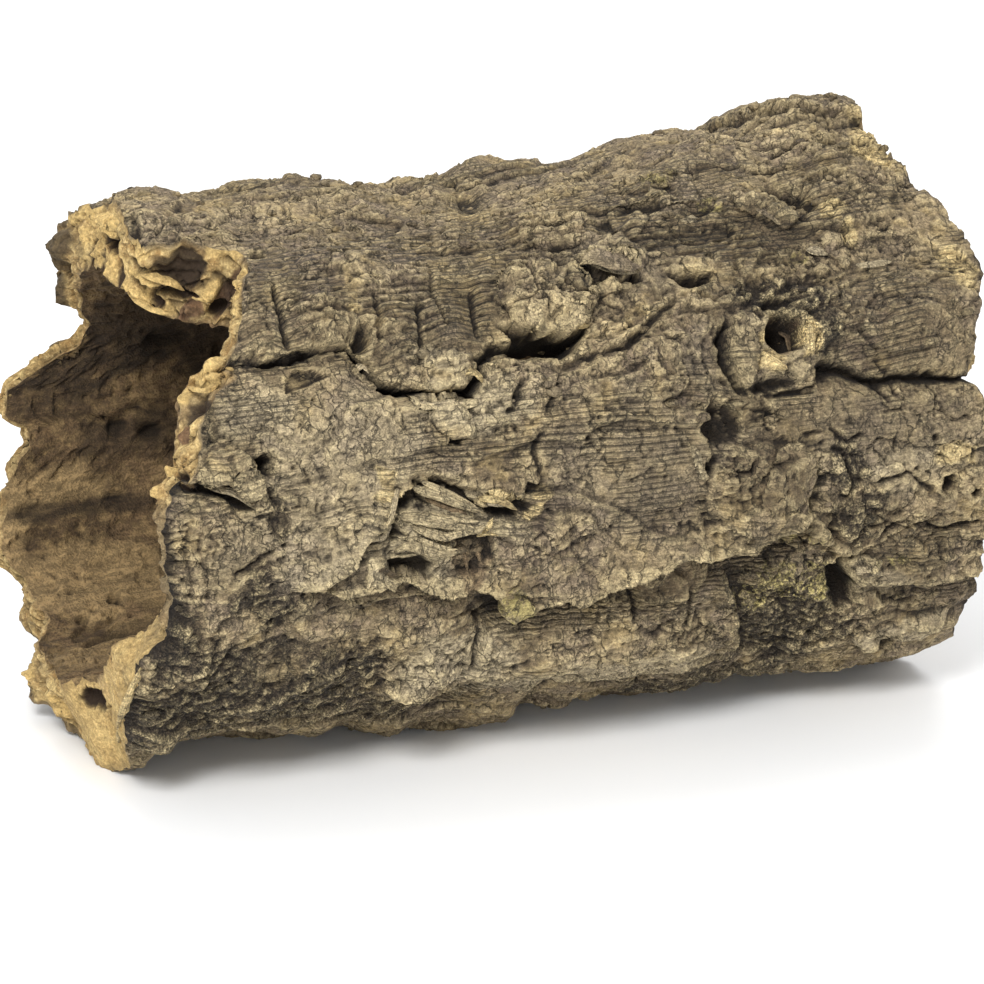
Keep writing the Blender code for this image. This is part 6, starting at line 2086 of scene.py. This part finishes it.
def studio_paper(colour):
    """A matt paper sweep, as under product photographs: nearly white, with no shine."""
    material, tree, where, _ = new_material("matt_paper_sweep")
    tooth = add_node(tree, "TexNoise", {"Vector": where, "Scale": 900.0, "Detail": 2.0})
    bump = add_node(tree, "Bump", {"Height": tooth, "Strength": 0.1, "Distance": 0.0002})
    inputs = {"Base Color": colour, "Roughness": 0.9, "Normal": bump, "Specular IOR Level": 0.2}
    shader = add_node(tree, "BsdfPrincipled", inputs)
    add_node(tree, "OutputMaterial", {"Surface": shader})
    return material


def way_to(turn, tilt):
    """The way from the tube to what stands turned from its front and tilted over the floor."""
    return Vector((math.sin(turn) * math.cos(tilt), -math.cos(turn) * math.cos(tilt), math.sin(tilt)))


def soft_light(name, azimuth, elevation, distance, size, power):
    """A square soft box, aimed at the middle of the tube."""
    light = bpy.data.objects.new(name, bpy.data.lights.new(name, "AREA"))
    light.data.size = size
    light.data.energy = power
    towards = way_to(math.radians(azimuth), math.radians(elevation))
    light.location = Vector(VIEW_CENTRE) + towards * distance
    light.rotation_euler = towards.to_track_quat("Z", "Y").to_euler()
    bpy.context.scene.collection.objects.link(light)


def set_camera(stage):
    """The camera, level and aimed at the middle of its view."""
    camera = bpy.data.objects.new("photo_camera", bpy.data.cameras.new("photo_camera"))
    bpy.context.scene.collection.objects.link(camera)
    camera.data.lens = stage.lens
    camera.data.clip_end = 20.0
    back = way_to(stage.camera_azimuth, stage.camera_elevation)
    right = way_to(stage.camera_azimuth + math.pi / 2.0, 0.0)
    aim = Matrix((right, back.cross(right), back)).transposed()
    spot = Vector(VIEW_CENTRE) + back * stage.camera_distance
    camera.matrix_world = Matrix.Translation(spot) @ aim.to_4x4()
    bpy.context.scene.camera = camera


def set_floor(stage):
    mesh = bpy.data.meshes.new("paper_sweep")
    half = stage.floor_size / 2.0
    corners = ((-half, -half, 0.0), (half, -half, 0.0), (half, half, 0.0), (-half, half, 0.0))
    mesh.from_pydata(corners, [], [(0, 1, 2, 3)])
    mesh.materials.append(studio_paper(stage.floor_colour))
    floor = bpy.data.objects.new("paper_sweep", mesh)
    bpy.context.scene.collection.objects.link(floor)


def set_world(stage):
    """The even, nearly white light from all round."""
    world = bpy.data.worlds.new("studio_air")
    world.use_nodes = True
    backdrop = world.node_tree.nodes["Background"]
    backdrop.inputs["Color"].default_value = linear_colour(AIR)
    backdrop.inputs["Strength"].default_value = stage.air_strength
    bpy.context.scene.world = world
    bpy.context.scene.view_settings.view_transform = "Standard"


def colour_property(name, description, code):
    return bpy.props.FloatVectorProperty(
        name=name, description=description, default=linear_colour(code), size=4, min=0.0, max=1.0,
        subtype="COLOR",
    )


def height_property(name, description, height, most):
    return bpy.props.FloatProperty(
        name=name, description=description, default=height, min=0.0, max=most, precision=5, unit="LENGTH",
    )


def power_property(name, description, power):
    return bpy.props.FloatProperty(name=name, description=description, default=power, min=0.0, unit="POWER")


class CorkTubeSizes(bpy.types.PropertyGroup):
    """Heights of the bark's small forms"""

    growth_line_height: height_property(
        "Growth line height", "How far each yearly growth line stands up", 0.0005, 0.002,
    )
    flake_height: height_property(
        "Flake height", "Thickness of the flat flakes that the bark sheds", 0.0013, 0.003,
    )
    crust_height: height_property(
        "Crust height", "Height of the lumps in the dark crust low on the bark", 0.0034, 0.006,
    )
    end_roughness: height_property(
        "End roughness", "How unevenly the layers broke off at the ends", 0.0036, 0.008,
    )


class CorkTubeColours(bpy.types.PropertyGroup):
    """Colours of the bark"""

    bark: colour_property("Bark", "Weathered outer bark", "#77684f")
    light_bark: colour_property("Light bark", "Lighter mottling of the outer bark", "#8f7f60")
    # Dirt and painted shade in the cracks and folds of the bark and of the inner face
    crevice: colour_property("Crevice", "Dirt in cracks and folds", "#1d150c")
    torn_cork: colour_property("Torn cork", "Cork laid bare where bark broke off", "#bfa670")
    inner_bark: colour_property("Inner bark", "The face that lay against the wood", "#6f593e")
    lichen: colour_property("Lichen", "Dry lichen on the lower bark", "#8d8150")


class CorkTubeStage(bpy.types.PropertyGroup):
    """Floor, lights and camera"""

    floor_size: bpy.props.FloatProperty(
        name="Floor size", description="Side of the paper floor", default=6.0, min=1.0, unit="LENGTH",
    )
    floor_colour: colour_property("Floor", "Colour of the paper floor", "#f6f6f5")
    air_strength: bpy.props.FloatProperty(
        name="Air", description="Strength of the even light from all round", default=0.62, min=0.0,
    )
    key_power: power_property("Key light", "Power of the large soft box", 40.0)
    fill_power: power_property("Fill light", "Power of the soft box on the right", 8.0)
    low_power: power_property("Low light", "Power of the low soft box beside the camera", 10.0)
    back_power: power_property("Back light", "Power of the soft box over the floor behind", 44.0)
    camera_azimuth: bpy.props.FloatProperty(
        name="Camera azimuth", description="Turn of the camera from the tube's side towards its right end",
        default=math.radians(-22.0), subtype="ANGLE",
    )
    camera_elevation: bpy.props.FloatProperty(
        name="Camera elevation", description="Height of the camera's view over the horizon",
        default=math.radians(18.0), subtype="ANGLE",
    )
    camera_distance: bpy.props.FloatProperty(
        name="Camera distance", description="From the camera to the middle of its view",
        default=2.2, min=0.5, unit="LENGTH",
    )
    lens: bpy.props.FloatProperty(
        name="Lens", description="Focal length on a 36 mm wide sensor",
        default=224.0, min=20.0, unit="CAMERA",
    )


class CORK_OT_outside(bpy.types.Operator):
    """Build the weathered outside of the bark, in three pieces"""

    bl_idname = "cork_tube.outside"
    bl_label = "Outside of the bark"

    def execute(self, context):
        make_outside(heights_in_mm(context.scene.cork_sizes), bark_finish(context.scene.cork_colours))
        return {"FINISHED"}


class CORK_OT_splinters(bpy.types.Operator):
    """Build the splinters, strips and slivers that stand off the bark"""

    bl_idname = "cork_tube.splinters"
    bl_label = "Splinters"

    def execute(self, context):
        make_slivers(bark_finish(context.scene.cork_colours))
        return {"FINISHED"}


class CORK_OT_crumbs(bpy.types.Operator):
    """Build the crumbs and lichen tufts that lie on the bark"""

    bl_idname = "cork_tube.crumbs"
    bl_label = "Crumbs"

    def execute(self, context):
        make_crumbs(heights_in_mm(context.scene.cork_sizes), bark_finish(context.scene.cork_colours))
        return {"FINISHED"}


class CORK_OT_strands(bpy.types.Operator):
    """Build the pale strands of the broken left end"""

    bl_idname = "cork_tube.strands"
    bl_label = "Strands"

    def execute(self, context):
        make_strands(broken_cork(context.scene.cork_colours))
        return {"FINISHED"}


class CORK_OT_inside(bpy.types.Operator):
    """Build the inner face of the bark"""

    bl_idname = "cork_tube.inside"
    bl_label = "Inside of the bark"

    def execute(self, context):
        make_inside(heights_in_mm(context.scene.cork_sizes), inner_bark(context.scene.cork_colours))
        return {"FINISHED"}


class CORK_OT_ends(bpy.types.Operator):
    """Build both broken ends"""

    bl_idname = "cork_tube.ends"
    bl_label = "Broken ends"

    def execute(self, context):
        make_ends(heights_in_mm(context.scene.cork_sizes), broken_cork(context.scene.cork_colours))
        return {"FINISHED"}


class CORK_OT_stage(bpy.types.Operator):
    """Set the floor, the soft lights and the camera"""

    bl_idname = "cork_tube.stage"
    bl_label = "Stage"

    def execute(self, context):
        stage = context.scene.cork_stage
        set_floor(stage)
        set_world(stage)
        soft_light("key_box", -34.0, 40.0, 2.2, 0.7, stage.key_power)
        soft_light("fill_box", 50.0, 30.0, 2.6, 1.6, stage.fill_power)
        soft_light("low_box", -20.0, 6.0, 2.4, 1.0, stage.low_power)
        soft_light("back_box", 158.0, 58.0, 2.6, 2.2, stage.back_power)
        set_camera(stage)
        return {"FINISHED"}


class CORK_PT_panel(bpy.types.Panel):
    """The cork tube's pieces, sizes, colours and stage"""

    bl_idname = "CORK_PT_panel"
    bl_label = "Cork Bark Tube"
    bl_space_type = "VIEW_3D"
    bl_region_type = "UI"
    bl_category = "Cork Bark"

    def draw(self, context):
        for group in (context.scene.cork_sizes, context.scene.cork_colours, context.scene.cork_stage):
            box = self.layout.box()
            for name in group.bl_rna.properties.keys():
                if name not in ("rna_type", "name"):
                    box.prop(group, name)
        for operator in OPERATORS:
            self.layout.operator(operator.bl_idname)


OPERATORS = (
    CORK_OT_outside, CORK_OT_splinters, CORK_OT_crumbs, CORK_OT_inside, CORK_OT_ends, CORK_OT_strands,
    CORK_OT_stage,
)
CLASSES = (CorkTubeSizes, CorkTubeColours, CorkTubeStage, *OPERATORS, CORK_PT_panel)


def register():
    for item in CLASSES:
        bpy.utils.register_class(item)
    bpy.types.Scene.cork_sizes = bpy.props.PointerProperty(type=CorkTubeSizes)
    bpy.types.Scene.cork_colours = bpy.props.PointerProperty(type=CorkTubeColours)
    bpy.types.Scene.cork_stage = bpy.props.PointerProperty(type=CorkTubeStage)


def unregister():
    del bpy.types.Scene.cork_stage
    del bpy.types.Scene.cork_colours
    del bpy.types.Scene.cork_sizes
    for item in reversed(CLASSES):
        bpy.utils.unregister_class(item)


def main():
    register()
    bpy.ops.cork_tube.outside()
    bpy.ops.cork_tube.splinters()
    bpy.ops.cork_tube.crumbs()
    bpy.ops.cork_tube.inside()
    bpy.ops.cork_tube.ends()
    bpy.ops.cork_tube.strands()
    bpy.ops.cork_tube.stage()


if __name__ == "__main__":
    main()
